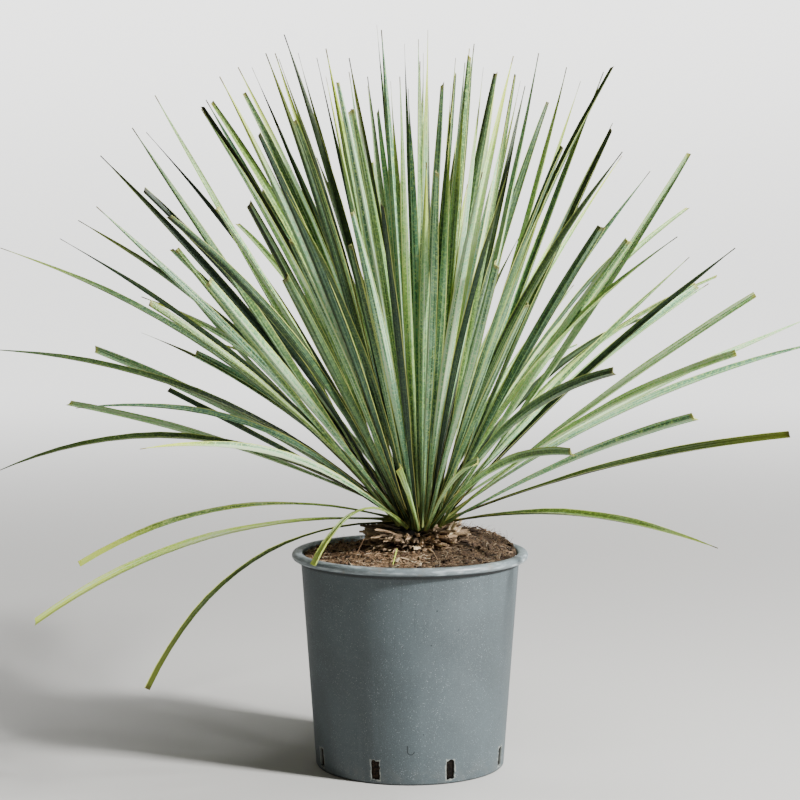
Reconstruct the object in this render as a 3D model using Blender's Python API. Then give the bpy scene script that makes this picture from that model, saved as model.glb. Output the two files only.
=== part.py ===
"""Beaked yucca in a round nursery pot.

Metres, +Z up. The origin is the middle of the pot's base and the front is -Y.
Four pieces: the pot, the soil in it, the brown stump that stands in the soil
and the green rosette of stiff leaves that grows from the stump.
"""

import math
import random

import bmesh
import bpy
from mathutils import Matrix, Vector

# Driving dimensions of the pot
POT_HEIGHT = 0.237
POT_BASE_RADIUS = 0.104
POT_NECK_RADIUS = 0.120
POT_LIP_RADIUS = 0.130
POT_LIP_DEPTH = 0.0088
POT_WALL = 0.0020
POT_FLOOR = 0.0030
POT_SIDES = 64

# Drain slots round the foot of the pot
SLOT_COUNT = 8
SLOT_FIRST_TURN = math.radians(24.1)
SLOT_WIDTH = 0.0095
SLOT_BOTTOM = 0.0050
SLOT_HEIGHT = 0.0210

# Soil
SOIL_GAP = 0.0003
SOIL_LEVEL = 0.2315
SOIL_SIDES = 48
SOIL_RINGS = (0.030, 0.056, 0.066, 0.076, 0.087, 0.099, 0.109)
HEAP_PLACE = Vector((0.072, 0.046, 0.0))
HEAP_HEIGHT = 0.018
HEAP_SPREAD = 0.045
MOUND_RADIUS = 0.055
MOUND_HEIGHT = 0.010
MOUND_SPREAD = 0.030
STUMP_REST = 0.0625
STUMP_REST_LEVEL = 0.2415
SOIL_SEED = 3
CHIP_COUNT = 26
CHIP_FIRST_REACH = 0.070
CHIP_BAND = 0.040
CHIP_LENGTHS = (0.007, 0.016)
CHIP_THICKNESSES = (0.002, 0.004)

# Stump of old leaf bases
PLANT_X = 0.005
STUMP_RADIUS = 0.046
STUMP_FOOT = 0.146
STUMP_TOP = 0.2620
STUMP_SIDES = 20
FLAKE_COUNT = 54
FLAKE_REACH = 0.0125
FLAKE_TOP = 0.2588
FLAKE_BAND = 0.0105
FLAKE_WIDTHS = (0.010, 0.017)
FLAKE_THICK = 0.0016
FLAKE_SUNK = 0.010
FLAKE_SEED = 11

# Crown that the leaves stand out of
CROWN = Vector((0.012, 0.0, 0.281))
CROWN_RADIUS = 0.043
CROWN_FOOT = STUMP_TOP + SOIL_GAP
CROWN_FOOT_RADIUS = 0.034
CROWN_SHOULDER = 0.300
CROWN_TOP = 0.346
CROWN_SIDES = 16

# Leaves
LEAF_WIDTH = 0.0130
LEAF_THICK = 0.0019
LEAF_CHANNEL = 0.0008
LEAF_LENGTH = 0.54
LEAF_ROOT_SUNK = 0.014
LOWEST_ROOT = 0.2670
STRAIGHT_STEPS = 4
BOWED_STEPS = 6
BOWED_FROM = 0.015

# Front viewpoint that the leaves below were read from
EYE = Vector((-0.012, -2.39, 0.610))
SEEN_FROM = Vector((0.014, 0.0, 0.264))

# Leaves told apart from the front. Each row: how far the tip is seen to the right of
# the crown and above it, how far it comes towards the front, how far the middle bows
# up (all in centimetres), the roll of the blade in degrees, and point or cut end.
POINT = "point"
CUT = "cut"
SEEN_LEAVES = (
    (-30.5, -18.5, 14, 4.4, 40, CUT),
    (-43, -11, 10, 3.8, -45, CUT),
    (-38, -4.5, 4, 3.9, 35, CUT),
    (-48, 5.5, -6, 6.5, -50, POINT),
    (-31, 8.5, 34, 3.4, 60, POINT),
    (-39, 13.5, -14, 1.3, -50, CUT),
    (-38, 13, 10, 4.5, 45, POINT),
    (-28, 15, -28, 0, 70, CUT),
    (-36, 19.5, -12, 1.2, -70, CUT),
    (-48, 19.5, -4, 4.2, -45, POINT),
    (-25, 19, -24, 1.4, -50, CUT),
    (-46, 30.5, 0, 3.8, -40, POINT),
    (-39.5, 31.5, -12, 2, 40, POINT),
    (-30, 24.5, 12, 1.3, -45, CUT),
    (-37.5, 33.5, -16, 2.7, -45, POINT),
    (-35.5, 35, 14, 0.9, 65, POINT),
    (-27, 30.5, 18, 0, -40, CUT),
    (-23.5, 27, 24, 0.2, 45, CUT),
    (-26, 26, -30, -1, 60, POINT),
    (-35, 40.5, -8, 1.2, -70, POINT),
    (-30.5, 37, 12, 1.9, 55, CUT),
    (-31.5, 43.5, 14, 0, 55, POINT),
    (-30, 43, -14, 2, 40, POINT),
    (-22.5, 35, 20, 0.6, -50, CUT),
    (-29, 47, 5, 0, -60, POINT),
    (-24, 46, -10, 1.7, -80, CUT),
    (-24, 45.5, 8, 1.6, 35, POINT),
    (-23.5, 46.5, -16, 1.2, -40, POINT),
    (-23, 46.5, -6, 2.1, -70, CUT),
    (-19, 35.5, 22, 0.9, 45, CUT),
    (-14.5, 31.5, 24, 0.5, -40, CUT),
    (-22, 49, 8, 1.5, 60, POINT),
    (-21.5, 48, -12, 1.2, 45, POINT),
    (-20, 50, 0, 1.6, -70, POINT),
    (-19.5, 47.5, 2, 1.8, -75, CUT),
    (-19, 46.5, -14, 1.6, 45, CUT),
    (-18.5, 50, -15, 1.2, 40, POINT),
    (-17, 51.5, 10, 1.4, 50, POINT),
    (-16, 51.5, 4, 0.8, -65, POINT),
    (-15, 53.5, 5, 1.3, 50, POINT),
    (-14, 44.5, 12, 1.3, -60, CUT),
    (-13.5, 51.5, -10, 0.4, 40, POINT),
    (-11.5, 51, -14, 0.4, 45, POINT),
    (-10.5, 52, 6, 0.5, 60, POINT),
    (-10.5, 49, 16, 0.4, -60, POINT),
    (-8, 49.5, 15, 0.3, 60, POINT),
    (-8, 51, -6, 0.6, -40, POINT),
    (-6, 49, -18, 0.2, -40, POINT),
    (-6, 48, -20, 0, 50, POINT),
    (-5, 54.5, -8, 0.2, 40, POINT),
    (-4.5, 54, 5, 0.2, 40, POINT),
    (-3.5, 48.5, 12, 0.2, -50, POINT),
    (-2.5, 49, 16, 0, 50, POINT),
    (-2, 52.5, 8, 0.3, -60, POINT),
    (-0.5, 53, -16, 0, 40, POINT),
    (0.5, 54, 12, 0, 50, POINT),
    (0.5, 50.5, -14, 0, 55, POINT),
    (0, 51.5, -10, 0.3, -60, POINT),
    (3, 48, -16, -0.4, -60, POINT),
    (3, 44, 18, -0.5, -60, POINT),
    (3.5, 49.5, -8, 0, -45, CUT),
    (3.5, 51, -18, 0, -40, POINT),
    (5, 51.5, 5, 0, -50, CUT),
    (5, 52, -13, 0, 45, POINT),
    (5.5, 52.5, -10, 0, 40, POINT),
    (4.5, 50.5, -16, -0.3, 45, POINT),
    (6.5, 50, 16, -0.3, 50, POINT),
    (8, 49.5, -18, 0, 40, POINT),
    (4.5, 46.5, 14, 0.5, -55, POINT),
    (10, 49.5, 14, -0.4, 50, CUT),
    (10.5, 48.5, -13, 0, -40, POINT),
    (11, 48, -20, 0, 45, POINT),
    (12.5, 51.5, 5, -0.4, 50, POINT),
    (9.5, 47, -10, -0.3, -55, POINT),
    (10.5, 38.5, -32, 0, 40, POINT),
    (15.5, 50, 5, -0.5, 50, POINT),
    (17, 48.5, -10, -0.2, -40, POINT),
    (13.5, 36.5, 30, 0, 60, POINT),
    (19.5, 49.5, 5, 0.3, 50, POINT),
    (16.5, 42, -22, 0, -60, POINT),
    (20.5, 44, -12, 0.3, -60, POINT),
    (20.5, 43.5, 15, 0.2, 60, CUT),
    (19.5, 33, 20, 0.8, -50, CUT),
    (29, 41, 4, -0.7, 70, CUT),
    (22.5, 31.5, 20, 0.6, -50, CUT),
    (29, 29.5, -10, 0.6, -50, POINT),
    (34, 30.5, 8, 1, 65, POINT),
    (30, 26.5, -14, 1.2, 60, CUT),
    (36.5, 25.5, 10, 0.6, 60, CUT),
    (42.5, 23, -10, 1.1, 55, POINT),
    (34.5, 19, 18, 2, 65, CUT),
    (44.5, 20.5, 5, 2.4, 60, POINT),
    (30, 12, 20, 1, -65, CUT),
    (40.5, 10, 10, 1.4, 60, CUT),
    (32.5, -2.5, 16, 2.2, 50, POINT),
    (16.5, 8, 36, 2.6, -60, CUT),
    (21, 17, 33, 3.2, -60, CUT),
    (6, 7, 24, 1.5, 50, CUT),
    (-2.5, 6.5, 20, 0.5, 60, CUT),
    (-12, -4.5, 18, 4, 50, CUT),
    (-8, 31, 24, 0.3, -50, CUT),
    (8, 29, 28, 0, -60, CUT),
    (11.5, 24.5, 26, 0, 45, CUT),
    (1.5, 39, 30, 0, -45, CUT),
    (-5.5, 40, -26, 0, -60, CUT),
    (-4.5, 35.5, 32, 0, -45, CUT),
    (-15, 27.5, 28, 0.3, 50, CUT),
    (-12, 18, -34, 0, -50, CUT),
)

# The rest of the leaves, which stand behind and among those, go round by the golden angle
FILL_COUNT = 165
FILL_SEED = 7
FILL_LENGTHS = (0.84, 0.99)
FILL_ROLLS = (10, 55)
FILL_POINTED_SHARE = 0.6
GOLDEN_TURN = math.radians(137.508)
GOLDEN_SHARE = 0.381966
EVEN_SHARE = 0.754878
SHORTEST_EDGE = 0.000003


def clear_scene():
    """Start from an empty scene."""
    for thing in list(bpy.data.objects):
        bpy.data.objects.remove(thing, do_unlink=True)


def finish_material(name, colour, roughness):
    """One plain finish for a piece."""
    material = bpy.data.materials.new(name)
    material.use_nodes = True
    shader = material.node_tree.nodes["Principled BSDF"]
    shader.inputs["Base Color"].default_value = (*colour, 1.0)
    shader.inputs["Roughness"].default_value = roughness
    shader.inputs["Metallic"].default_value = 0.0
    return material


def make_object(name, bm, material=None):
    """Turn a bmesh into a named object of the scene."""
    mesh = bpy.data.meshes.new(name)
    bm.to_mesh(mesh)
    bm.free()
    piece = bpy.data.objects.new(name, mesh)
    if material:
        mesh.materials.append(material)
    bpy.context.scene.collection.objects.link(piece)
    return piece


def spin_profile(outline, sides):
    """Turn an outline of (radius, height) points once round Z."""
    bm = bmesh.new()
    points = [bm.verts.new((radius, 0.0, height)) for radius, height in outline]
    edges = [bm.edges.new(pair) for pair in zip(points, points[1:])]
    bmesh.ops.spin(
        bm, geom=points + edges, axis=(0, 0, 1), cent=(0, 0, 0),
        steps=sides, angle=math.tau, use_merge=True, use_duplicate=False,
    )
    bmesh.ops.remove_doubles(bm, verts=bm.verts, dist=0.00001)
    bmesh.ops.recalc_face_normals(bm, faces=bm.faces)
    return bm


def join_collection(piece, extras, solver):
    """Fuse extra solids into a piece with one union and drop them."""
    bunch = bpy.data.collections.new(piece.name + "_extras")
    bpy.context.scene.collection.children.link(bunch)
    for extra in extras:
        bpy.context.scene.collection.objects.unlink(extra)
        bunch.objects.link(extra)
    union = piece.modifiers.new("fuse", "BOOLEAN")
    union.operation = "UNION"
    union.operand_type = "COLLECTION"
    union.collection = bunch
    union.solver = solver
    apply_modifiers(piece)
    for extra in list(bunch.objects):
        bpy.data.objects.remove(extra, do_unlink=True)
    bpy.data.collections.remove(bunch)


def keep_main_body(piece):
    """Fill sealed hollows and drop loose scraps: only the largest closed body stays."""
    bm = bmesh.new()
    bm.from_mesh(piece.data)
    left = set(bm.faces)
    bodies = []
    while left:
        body = set()
        reached = [left.pop()]
        while reached:
            face = reached.pop()
            body.add(face)
            for edge in face.edges:
                fresh = left.intersection(edge.link_faces)
                left -= fresh
                reached.extend(fresh)
        bodies.append(body)
    bodies.sort(key=len)
    scraps = [face for body in bodies[:-1] for face in body]
    bmesh.ops.delete(bm, geom=scraps, context="FACES")
    bmesh.ops.triangulate(bm, faces=bm.faces)
    bmesh.ops.dissolve_degenerate(bm, edges=bm.edges, dist=SHORTEST_EDGE)
    bmesh.ops.triangulate(bm, faces=bm.faces)
    bm.to_mesh(piece.data)
    bm.free()


def cut_with(piece, cutters):
    """Cut a group of solids out of a piece and drop them."""
    for cutter in cutters:
        cutter.hide_render = True
        cutter.display_type = "WIRE"
        cut = piece.modifiers.new("cut", "BOOLEAN")
        cut.operation = "DIFFERENCE"
        cut.solver = "EXACT"
        cut.object = cutter
    apply_modifiers(piece)
    for cutter in cutters:
        bpy.data.objects.remove(cutter, do_unlink=True)


def apply_modifiers(piece):
    """Replace a piece's mesh by what its modifiers make of it."""
    bpy.context.view_layer.update()
    graph = bpy.context.evaluated_depsgraph_get()
    mesh = bpy.data.meshes.new_from_object(piece.evaluated_get(graph))
    piece.modifiers.clear()
    old = piece.data
    piece.data = mesh
    bpy.data.meshes.remove(old)
    mesh.name = piece.name


# Pot


def pot_inner_radius(height):
    """Inside radius of the pot's wall at a height."""
    share = height / (POT_HEIGHT - POT_LIP_DEPTH)
    outer = POT_BASE_RADIUS + (POT_NECK_RADIUS - POT_BASE_RADIUS) * share
    return outer - POT_WALL


def pot_outline():
    """Half section of the pot, from the middle of the base round to the middle of the floor."""
    lip_foot = POT_HEIGHT - POT_LIP_DEPTH
    edge = 0.0018
    inner_top = pot_inner_radius(POT_HEIGHT - 0.0030)
    return (
        (0.0, 0.0),
        (POT_BASE_RADIUS - edge, 0.0),
        (POT_BASE_RADIUS - edge * 0.3, edge * 0.3),
        (POT_BASE_RADIUS, edge),
        (POT_NECK_RADIUS, lip_foot),
        (POT_LIP_RADIUS - 0.0022, lip_foot - 0.0002),
        (POT_LIP_RADIUS - 0.0004, lip_foot + 0.0022),
        (POT_LIP_RADIUS, lip_foot + 0.0052),
        (POT_LIP_RADIUS - 0.0006, POT_HEIGHT - 0.0024),
        (POT_LIP_RADIUS - 0.0026, POT_HEIGHT - 0.0005),
        (POT_LIP_RADIUS - 0.0050, POT_HEIGHT),
        (inner_top + 0.0020, POT_HEIGHT - 0.0004),
        (inner_top, POT_HEIGHT - 0.0030),
        (pot_inner_radius(POT_FLOOR), POT_FLOOR),
        (0.0, POT_FLOOR),
    )


def slot_cutter(turn):
    """Block that cuts one drain slot through the wall."""
    bm = bmesh.new()
    size = Matrix.Diagonal((0.020, SLOT_WIDTH, SLOT_HEIGHT, 1.0))
    place = Matrix.Rotation(turn, 4, "Z") @ Matrix.Translation(
        (POT_BASE_RADIUS, 0.0, SLOT_BOTTOM + SLOT_HEIGHT / 2)
    )
    bmesh.ops.create_cube(bm, size=1.0, matrix=place @ size)
    return make_object("slot_cutter", bm)


def make_pot():
    """Nursery pot: tapered wall, rolled lip, flat base and drain slots."""
    material = finish_material("pot_plastic", (0.10, 0.13, 0.16), 0.55)
    pot = make_object("pot", spin_profile(pot_outline(), POT_SIDES), material)
    turns = [SLOT_FIRST_TURN + math.tau * i / SLOT_COUNT for i in range(SLOT_COUNT)]
    cut_with(pot, [slot_cutter(turn) for turn in turns])
    pot.data.shade_smooth()
    pot.data.set_sharp_from_angle(angle=math.radians(35))
    return pot


# Soil


def soil_height(x, y):
    """Height of the soil: banked up round the stump and heaped up at the back right."""
    from_stump = Vector((x - PLANT_X, y)).length
    if from_stump < STUMP_REST:
        return STUMP_REST_LEVEL
    from_heap = Vector((x - HEAP_PLACE.x, y - HEAP_PLACE.y)).length
    heap = HEAP_HEIGHT * math.exp(-((from_heap / HEAP_SPREAD) ** 2))
    mound = MOUND_HEIGHT * math.exp(-(((from_stump - MOUND_RADIUS) / MOUND_SPREAD) ** 2))
    lean = 0.020 * x - 0.030 * y
    lumps = 0.0009 * math.sin(131 * x + 2.0) * math.cos(117 * y)
    lumps += 0.0005 * math.sin(311 * x + 170 * y)
    return SOIL_LEVEL + heap + mound + lean + lumps


def soil_outline():
    """Half section of the soil, before its top is given relief."""
    wall = pot_inner_radius(SOIL_LEVEL) - SOIL_GAP
    foot = POT_FLOOR + SOIL_GAP
    top = [(radius, SOIL_LEVEL) for radius in (0.0, *SOIL_RINGS)]
    return top + [
        (wall - 0.001, SOIL_LEVEL),
        (wall - 0.0004, SOIL_LEVEL - 0.006),
        (pot_inner_radius(foot) - SOIL_GAP, foot),
        (0.0, foot),
    ]


def make_chip(rng, index):
    """A bark chip or lump that lies half sunk in the soil."""
    turn = index * GOLDEN_TURN
    reach = CHIP_FIRST_REACH + CHIP_BAND * math.sqrt(rng.random())
    x = reach * math.cos(turn)
    y = reach * math.sin(turn)
    length = rng.uniform(*CHIP_LENGTHS)
    size = Matrix.Diagonal((length, length * 0.5, rng.uniform(*CHIP_THICKNESSES), 1.0))
    spin = Matrix.Rotation(rng.uniform(0, math.pi), 4, "Z")
    tilt = Matrix.Rotation(rng.uniform(-0.4, 0.4), 4, "X")
    place = Matrix.Translation((x, y, soil_height(x, y) + 0.0008))
    bm = bmesh.new()
    bmesh.ops.create_cube(bm, size=1.0, matrix=place @ spin @ tilt @ size)
    return make_object("chip", bm)


def make_soil():
    """Peat that fills the pot, with a plain hole for the stump and chips on top."""
    material = finish_material("peat", (0.075, 0.045, 0.028), 0.95)
    bm = spin_profile(soil_outline(), SOIL_SIDES)
    for vert in bm.verts:
        if vert.co.z > SOIL_LEVEL - 0.001:
            vert.co.z = soil_height(vert.co.x, vert.co.y)
    soil = make_object("soil", bm, material)
    rng = random.Random(SOIL_SEED)
    join_collection(soil, [make_chip(rng, i) for i in range(CHIP_COUNT)], "MANIFOLD")
    cut_with(soil, [make_object("stump_hole", stump_stem(SOIL_GAP, POT_HEIGHT))])
    return soil


# Stump


def make_flake(rng, index):
    """One papery old leaf base: a short blade that stands off the stump."""
    turn = index * GOLDEN_TURN
    level = FLAKE_TOP - FLAKE_BAND * (1.0 - (index * EVEN_SHARE) % 1.0)
    lift = rng.uniform(-0.35, 0.10)
    width = rng.uniform(*FLAKE_WIDTHS)
    reach = FLAKE_REACH * rng.uniform(0.55, 1.0)
    bm = bmesh.new()
    bmesh.ops.create_cone(
        bm, cap_ends=True, segments=4, radius1=1.0, radius2=0.42, depth=1.0,
        matrix=Matrix.Translation((0, 0, 0.5)),
    )
    shape = Matrix.Diagonal((width * 0.5, FLAKE_THICK, reach + FLAKE_SUNK, 1.0))
    out = Matrix.Rotation(math.pi / 2 - lift, 4, "X")
    skew = Matrix.Rotation(rng.uniform(-0.5, 0.5), 4, "Y")
    start = Matrix.Translation((0.0, -(STUMP_RADIUS - FLAKE_SUNK), 0.0))
    place = Matrix.Translation((PLANT_X, 0.0, level)) @ Matrix.Rotation(turn, 4, "Z")
    bmesh.ops.transform(bm, matrix=place @ start @ out @ skew @ shape, verts=bm.verts)
    return make_object("flake", bm)


def stump_stem(gap=0.0, longer=0.0):
    """Round stem of the stump, or with a gap and a longer top the hole that it stands in."""
    bm = bmesh.new()
    radius = STUMP_RADIUS + gap / math.cos(math.pi / STUMP_SIDES)
    foot = STUMP_FOOT - gap
    height = STUMP_TOP + longer - foot
    bmesh.ops.create_cone(
        bm, cap_ends=True, segments=STUMP_SIDES, radius1=radius, radius2=radius,
        depth=height, matrix=Matrix.Translation((PLANT_X, 0.0, foot + height / 2)),
    )
    return bm


def make_stump():
    """Short brown stem with a ragged collar of dead leaf bases."""
    material = finish_material("dead_leaf_base", (0.20, 0.12, 0.07), 0.9)
    stump = make_object("stump", stump_stem(), material)
    rng = random.Random(FLAKE_SEED)
    flakes = [make_flake(rng, i) for i in range(FLAKE_COUNT)]
    join_collection(stump, flakes, "MANIFOLD")
    return stump


# Leaves


def seen_point(right, up, towards):
    """Point that is seen so far right of the crown and above it, moved towards the front."""
    flat = SEEN_FROM + Vector((right, 0.0, up)) * 0.01
    share = towards * 0.01 / -EYE.y
    return flat.lerp(EYE, share)


def leaf_root(tip, index):
    """Where a leaf leaves the crown: on the side of its tip, the steep back ones higher up."""
    way = (tip - CROWN).normalized()
    flat = Vector((way.x, way.y, 0.0))
    inward = min(1.0, flat.length * (2.6 if way.y < 0 else 1.6))
    reach = (CROWN_RADIUS - LEAF_ROOT_SUNK) * inward
    climb = 0.004 + 0.018 * ((index * GOLDEN_SHARE) % 1.0) * max(way.z, 0.0)
    if way.y > 0:
        climb += 0.016 * max(way.z, 0.0)
    root = CROWN + flat.normalized() * reach
    root.z = LOWEST_ROOT + climb
    return root


def leaf_width(along, whole, length):
    """Width at a distance along the blade: narrow neck, fullest in the middle, long taper."""
    share = along / max(whole, length)
    rise = min(max((share - 0.06) / 0.44, 0.0), 1.0)
    full = 0.50 + 0.50 * rise * rise * (3.0 - 2.0 * rise)
    taper = 1.0 - max((share - 0.42) / 0.58, 0.0) ** 1.6
    return LEAF_WIDTH * full * taper


def leaf_frame(root, tip, bow, roll, share):
    """Point, across and upward directions of a blade at a share of its length."""
    chord = tip - root
    rise = Vector((0, 0, 1)) - chord * (chord.z / chord.length_squared)
    rise.normalize()
    knee = (root + tip) / 2 + rise * (bow * 2)
    point = root.lerp(knee, share).lerp(knee.lerp(tip, share), share)
    along = (knee.lerp(tip, share) - root.lerp(knee, share)).normalized()
    across = rise.cross(along).normalized()
    turn = Matrix.Rotation(roll * (0.25 + 1.1 * share), 3, along)
    across = turn @ across
    return point, across, along.cross(across)


def make_leaf(root, tip, bow, roll, end):
    """One stiff, keeled blade from the crown to its tip."""
    steps = BOWED_STEPS if bow > BOWED_FROM else STRAIGHT_STEPS
    length = (tip - root).length
    whole = length if end == POINT else max(LEAF_LENGTH, length * 1.12)
    bm = bmesh.new()
    bmesh.ops.create_cone(
        bm, cap_ends=True, segments=4, radius1=1.0, radius2=0.0 if end == POINT else 1.0,
        depth=1.0, matrix=Matrix.Translation((0, 0, 0.5)),
    )
    for step in range(1, steps):
        share = step / steps
        bmesh.ops.bisect_plane(
            bm, geom=bm.verts[:] + bm.edges[:] + bm.faces[:], dist=0.00001,
            plane_co=(0, 0, share), plane_no=(0, 0, 1),
        )
    split_sides(bm)
    for vert in bm.verts:
        share = min(max(vert.co.z, 0.0), 1.0)
        point, across, upward = leaf_frame(root, tip, bow, roll, share)
        half = leaf_width(share * length, whole, length) / 2
        if vert.co.xy.length < 0.0001:
            vert.co = point
        elif abs(vert.co.x) > abs(vert.co.y):
            side = 1.0 if vert.co.x > 0 else -1.0
            vert.co = point + across * (side * half) + upward * LEAF_CHANNEL
        elif vert.co.y > 0:
            vert.co = point
        else:
            vert.co = point - upward * LEAF_THICK * min(1.0, half / LEAF_WIDTH * 3)
    return make_object("leaf", bm)


def split_sides(bm):
    """Split each side face from its outer edge below to its middle line above."""
    for face in list(bm.faces):
        heights = [vert.co.z for vert in face.verts]
        if len(face.verts) != 4 or max(heights) - min(heights) < 0.001:
            continue
        middle = (max(heights) + min(heights)) / 2
        outer = [v for v in face.verts if abs(v.co.x) > abs(v.co.y) and v.co.z < middle]
        inner = [v for v in face.verts if abs(v.co.y) > abs(v.co.x) and v.co.z > middle]
        if outer and inner:
            bmesh.utils.face_split(face, outer[0], inner[0])


def seen_leaves():
    """Root, tip and shape of each leaf that can be told apart."""
    rows = []
    for index, (right, up, towards, bow, roll, end) in enumerate(SEEN_LEAVES):
        tip = seen_point(right, up, towards)
        rows.append((leaf_root(tip, index), tip, bow * 0.01, math.radians(roll), end))
    return rows


def fill_leaves():
    """The other leaves: evenly round the crown, behind the front ones and between them."""
    rng = random.Random(FILL_SEED)
    rows = []
    for index in range(FILL_COUNT):
        turn = index * GOLDEN_TURN + rng.uniform(-0.06, 0.06)
        climb = math.asin(0.04 + 0.95 * (index + 0.5) / FILL_COUNT)
        length = LEAF_LENGTH * rng.uniform(*FILL_LENGTHS)
        roll = rng.choice((-1, 1)) * math.radians(rng.uniform(*FILL_ROLLS))
        bow = 0.01 + 0.03 * math.cos(climb) * rng.random()
        flat = math.cos(climb)
        way = Vector((math.cos(turn) * flat, math.sin(turn) * flat, math.sin(climb)))
        behind = way.y > 0.42 and way.z > 0.45 * abs(way.x)
        before = way.y < -0.38 and way.z > 0.64
        steep = abs(way.y) > 0.15 and way.z > 0.88
        if behind or before or steep:
            tip = CROWN + way * length
            end = POINT if rng.random() < FILL_POINTED_SHARE else CUT
            rows.append((leaf_root(tip, index), tip, bow, roll, end))
    return rows


def crown_outline():
    """Half section of the crown: a short barrel under a low dome."""
    dome = []
    for step in range(4):
        turn = math.pi / 2 * step / 3
        height = CROWN_SHOULDER + (CROWN_TOP - CROWN_SHOULDER) * math.sin(turn)
        dome.append((CROWN_RADIUS * math.cos(turn), height))
    return [(0.0, CROWN_FOOT), (CROWN_FOOT_RADIUS, CROWN_FOOT), *dome[:-1], (0.0, CROWN_TOP)]


def make_rosette():
    """All the green leaves, fused round the crown that they grow from."""
    material = finish_material("leaf_green", (0.16, 0.25, 0.20), 0.5)
    bm = spin_profile(crown_outline(), CROWN_SIDES)
    bmesh.ops.translate(bm, vec=(CROWN.x, CROWN.y, 0.0), verts=bm.verts)
    rosette = make_object("leaf_rosette", bm, material)
    leaves = [make_leaf(*row) for row in seen_leaves() + fill_leaves()]
    join_collection(rosette, leaves, "MANIFOLD")
    keep_main_body(rosette)
    return rosette


def main():
    """Build the four pieces."""
    clear_scene()
    make_pot()
    make_soil()
    make_stump()
    make_rosette()


main()
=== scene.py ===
"""Looks of a beaked yucca in its round nursery pot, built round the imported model.

Metres, +Z up, front towards -Y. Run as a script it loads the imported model, makes
each piece with its own operator and hides the plain solids behind them.
"""

import math
import random

import bmesh
import bpy
from bpy.props import FloatProperty, FloatVectorProperty, IntProperty, PointerProperty
from mathutils import Matrix, Vector, noise


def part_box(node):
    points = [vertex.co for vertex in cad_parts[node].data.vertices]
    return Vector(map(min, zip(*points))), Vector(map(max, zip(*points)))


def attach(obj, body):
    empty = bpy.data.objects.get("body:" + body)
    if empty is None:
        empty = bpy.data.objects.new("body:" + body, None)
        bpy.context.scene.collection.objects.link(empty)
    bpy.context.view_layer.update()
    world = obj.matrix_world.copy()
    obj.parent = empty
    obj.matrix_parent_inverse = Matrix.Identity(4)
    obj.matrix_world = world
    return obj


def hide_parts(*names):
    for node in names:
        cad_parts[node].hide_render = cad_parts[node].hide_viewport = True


bl_info = {
    "name": "Potted beaked yucca",
    "version": (1, 0, 0),
    "blender": (4, 5, 0),
    "location": "3D View > Sidebar > Yucca",
    "description": "Builds the leaves, stump, soil and pot of a beaked yucca",
    "category": "Add Mesh",
}

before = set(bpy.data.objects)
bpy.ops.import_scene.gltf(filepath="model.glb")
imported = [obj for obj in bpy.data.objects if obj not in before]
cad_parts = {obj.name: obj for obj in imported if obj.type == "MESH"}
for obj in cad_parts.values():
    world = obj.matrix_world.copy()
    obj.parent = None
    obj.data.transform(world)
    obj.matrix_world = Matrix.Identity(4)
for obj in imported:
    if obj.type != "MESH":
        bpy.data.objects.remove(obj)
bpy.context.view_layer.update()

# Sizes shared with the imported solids
POT_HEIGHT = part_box("pot")[1][2]
POT_BASE_RADIUS = 0.104
POT_NECK_RADIUS = 0.120
POT_LIP_RADIUS = 0.130
POT_LIP_DEPTH = 0.0088
POT_WALL = 0.0020
POT_FLOOR = 0.0030
FOOT_ROUND = 0.0022
SLOT_COUNT = 8
SLOT_FIRST_TURN = math.radians(24.1)
SLOT_WIDTH = 0.0095
SLOT_BOTTOM = 0.0050
SLOT_HEIGHT = 0.0210

# How far the edge of a drain slot strays
SLOT_RAGGED = 0.0016

# Colours laid over the plastic of the pot
SPECK_PALE = (0.40, 0.45, 0.47)
SPECK_BLACK = (0.012, 0.012, 0.012)
# Lip colour: rubbed wear, and a painted highlight on the roll of the lip
LIP_WORN_AND_HIGHLIT = (0.42, 0.49, 0.52)
LIP_SOILED = (0.20, 0.15, 0.10)
SLOT_FLASH = (0.31, 0.33, 0.30)
FOOT_DUST = (0.24, 0.23, 0.20)

# Marks on the front of the pot: X and Z, and the radius of each speck
SCUFF_PLACE = (0.0005, 0.0378)
SCUFF_RADIUS = 0.0036
DARK_SPECKS = (
    (0.028, 0.190, 0.0013),
    (0.022, 0.153, 0.0011),
    (0.051, 0.168, 0.0009),
    (0.014, 0.056, 0.0010),
)

# Soil, with its heap at the back right and the mound round the stump
SOIL_GAP = 0.0003
SOIL_LEVEL = 0.2315
HEAP_PLACE = Vector((0.072, 0.046, 0.0))
HEAP_HEIGHT = 0.018
HEAP_SPREAD = 0.045
MOUND_RADIUS = 0.055
MOUND_HEIGHT = 0.010
MOUND_SPREAD = 0.030
SOIL_LEAN = (0.020, -0.030)
BACK_LEFT_BANK = 0.0038
SOIL_HUB = 0.030
SOIL_RINGS = 46
SOIL_SIDES = 210

# Bits told apart on the soil: from x, y to x, y, height of the first end above the
# soil, half thickness and tone, where tones over 0.96 are fresh yellow-green
SEEN_BITS = (
    (-0.0145, -0.068, -0.0185, -0.099, 0.0060, 0.0009, 1.00),
    (-0.0200, -0.108, -0.0120, -0.1105, 0.0, 0.0013, 0.95),
    (-0.0500, -0.040, -0.0610, -0.074, 0.0150, 0.0006, 0.50),
    (0.0060, -0.086, 0.0200, -0.093, 0.0, 0.0010, 0.86),
    (-0.0100, -0.079, 0.0030, -0.084, 0.0010, 0.0012, 0.84),
    (0.0220, -0.060, 0.0290, -0.082, 0.0050, 0.0005, 0.78),
)

# Pale splinters that lie together at the front
CLUSTER_PLACE = (0.002, -0.084)
CLUSTER_COUNT = 46
LITTER_SEED = 21
LITTER_FROM_STUMP = 0.006
LITTER_FROM_WALL = 0.004
COIR_TAN = (0.33, 0.21, 0.12)

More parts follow.
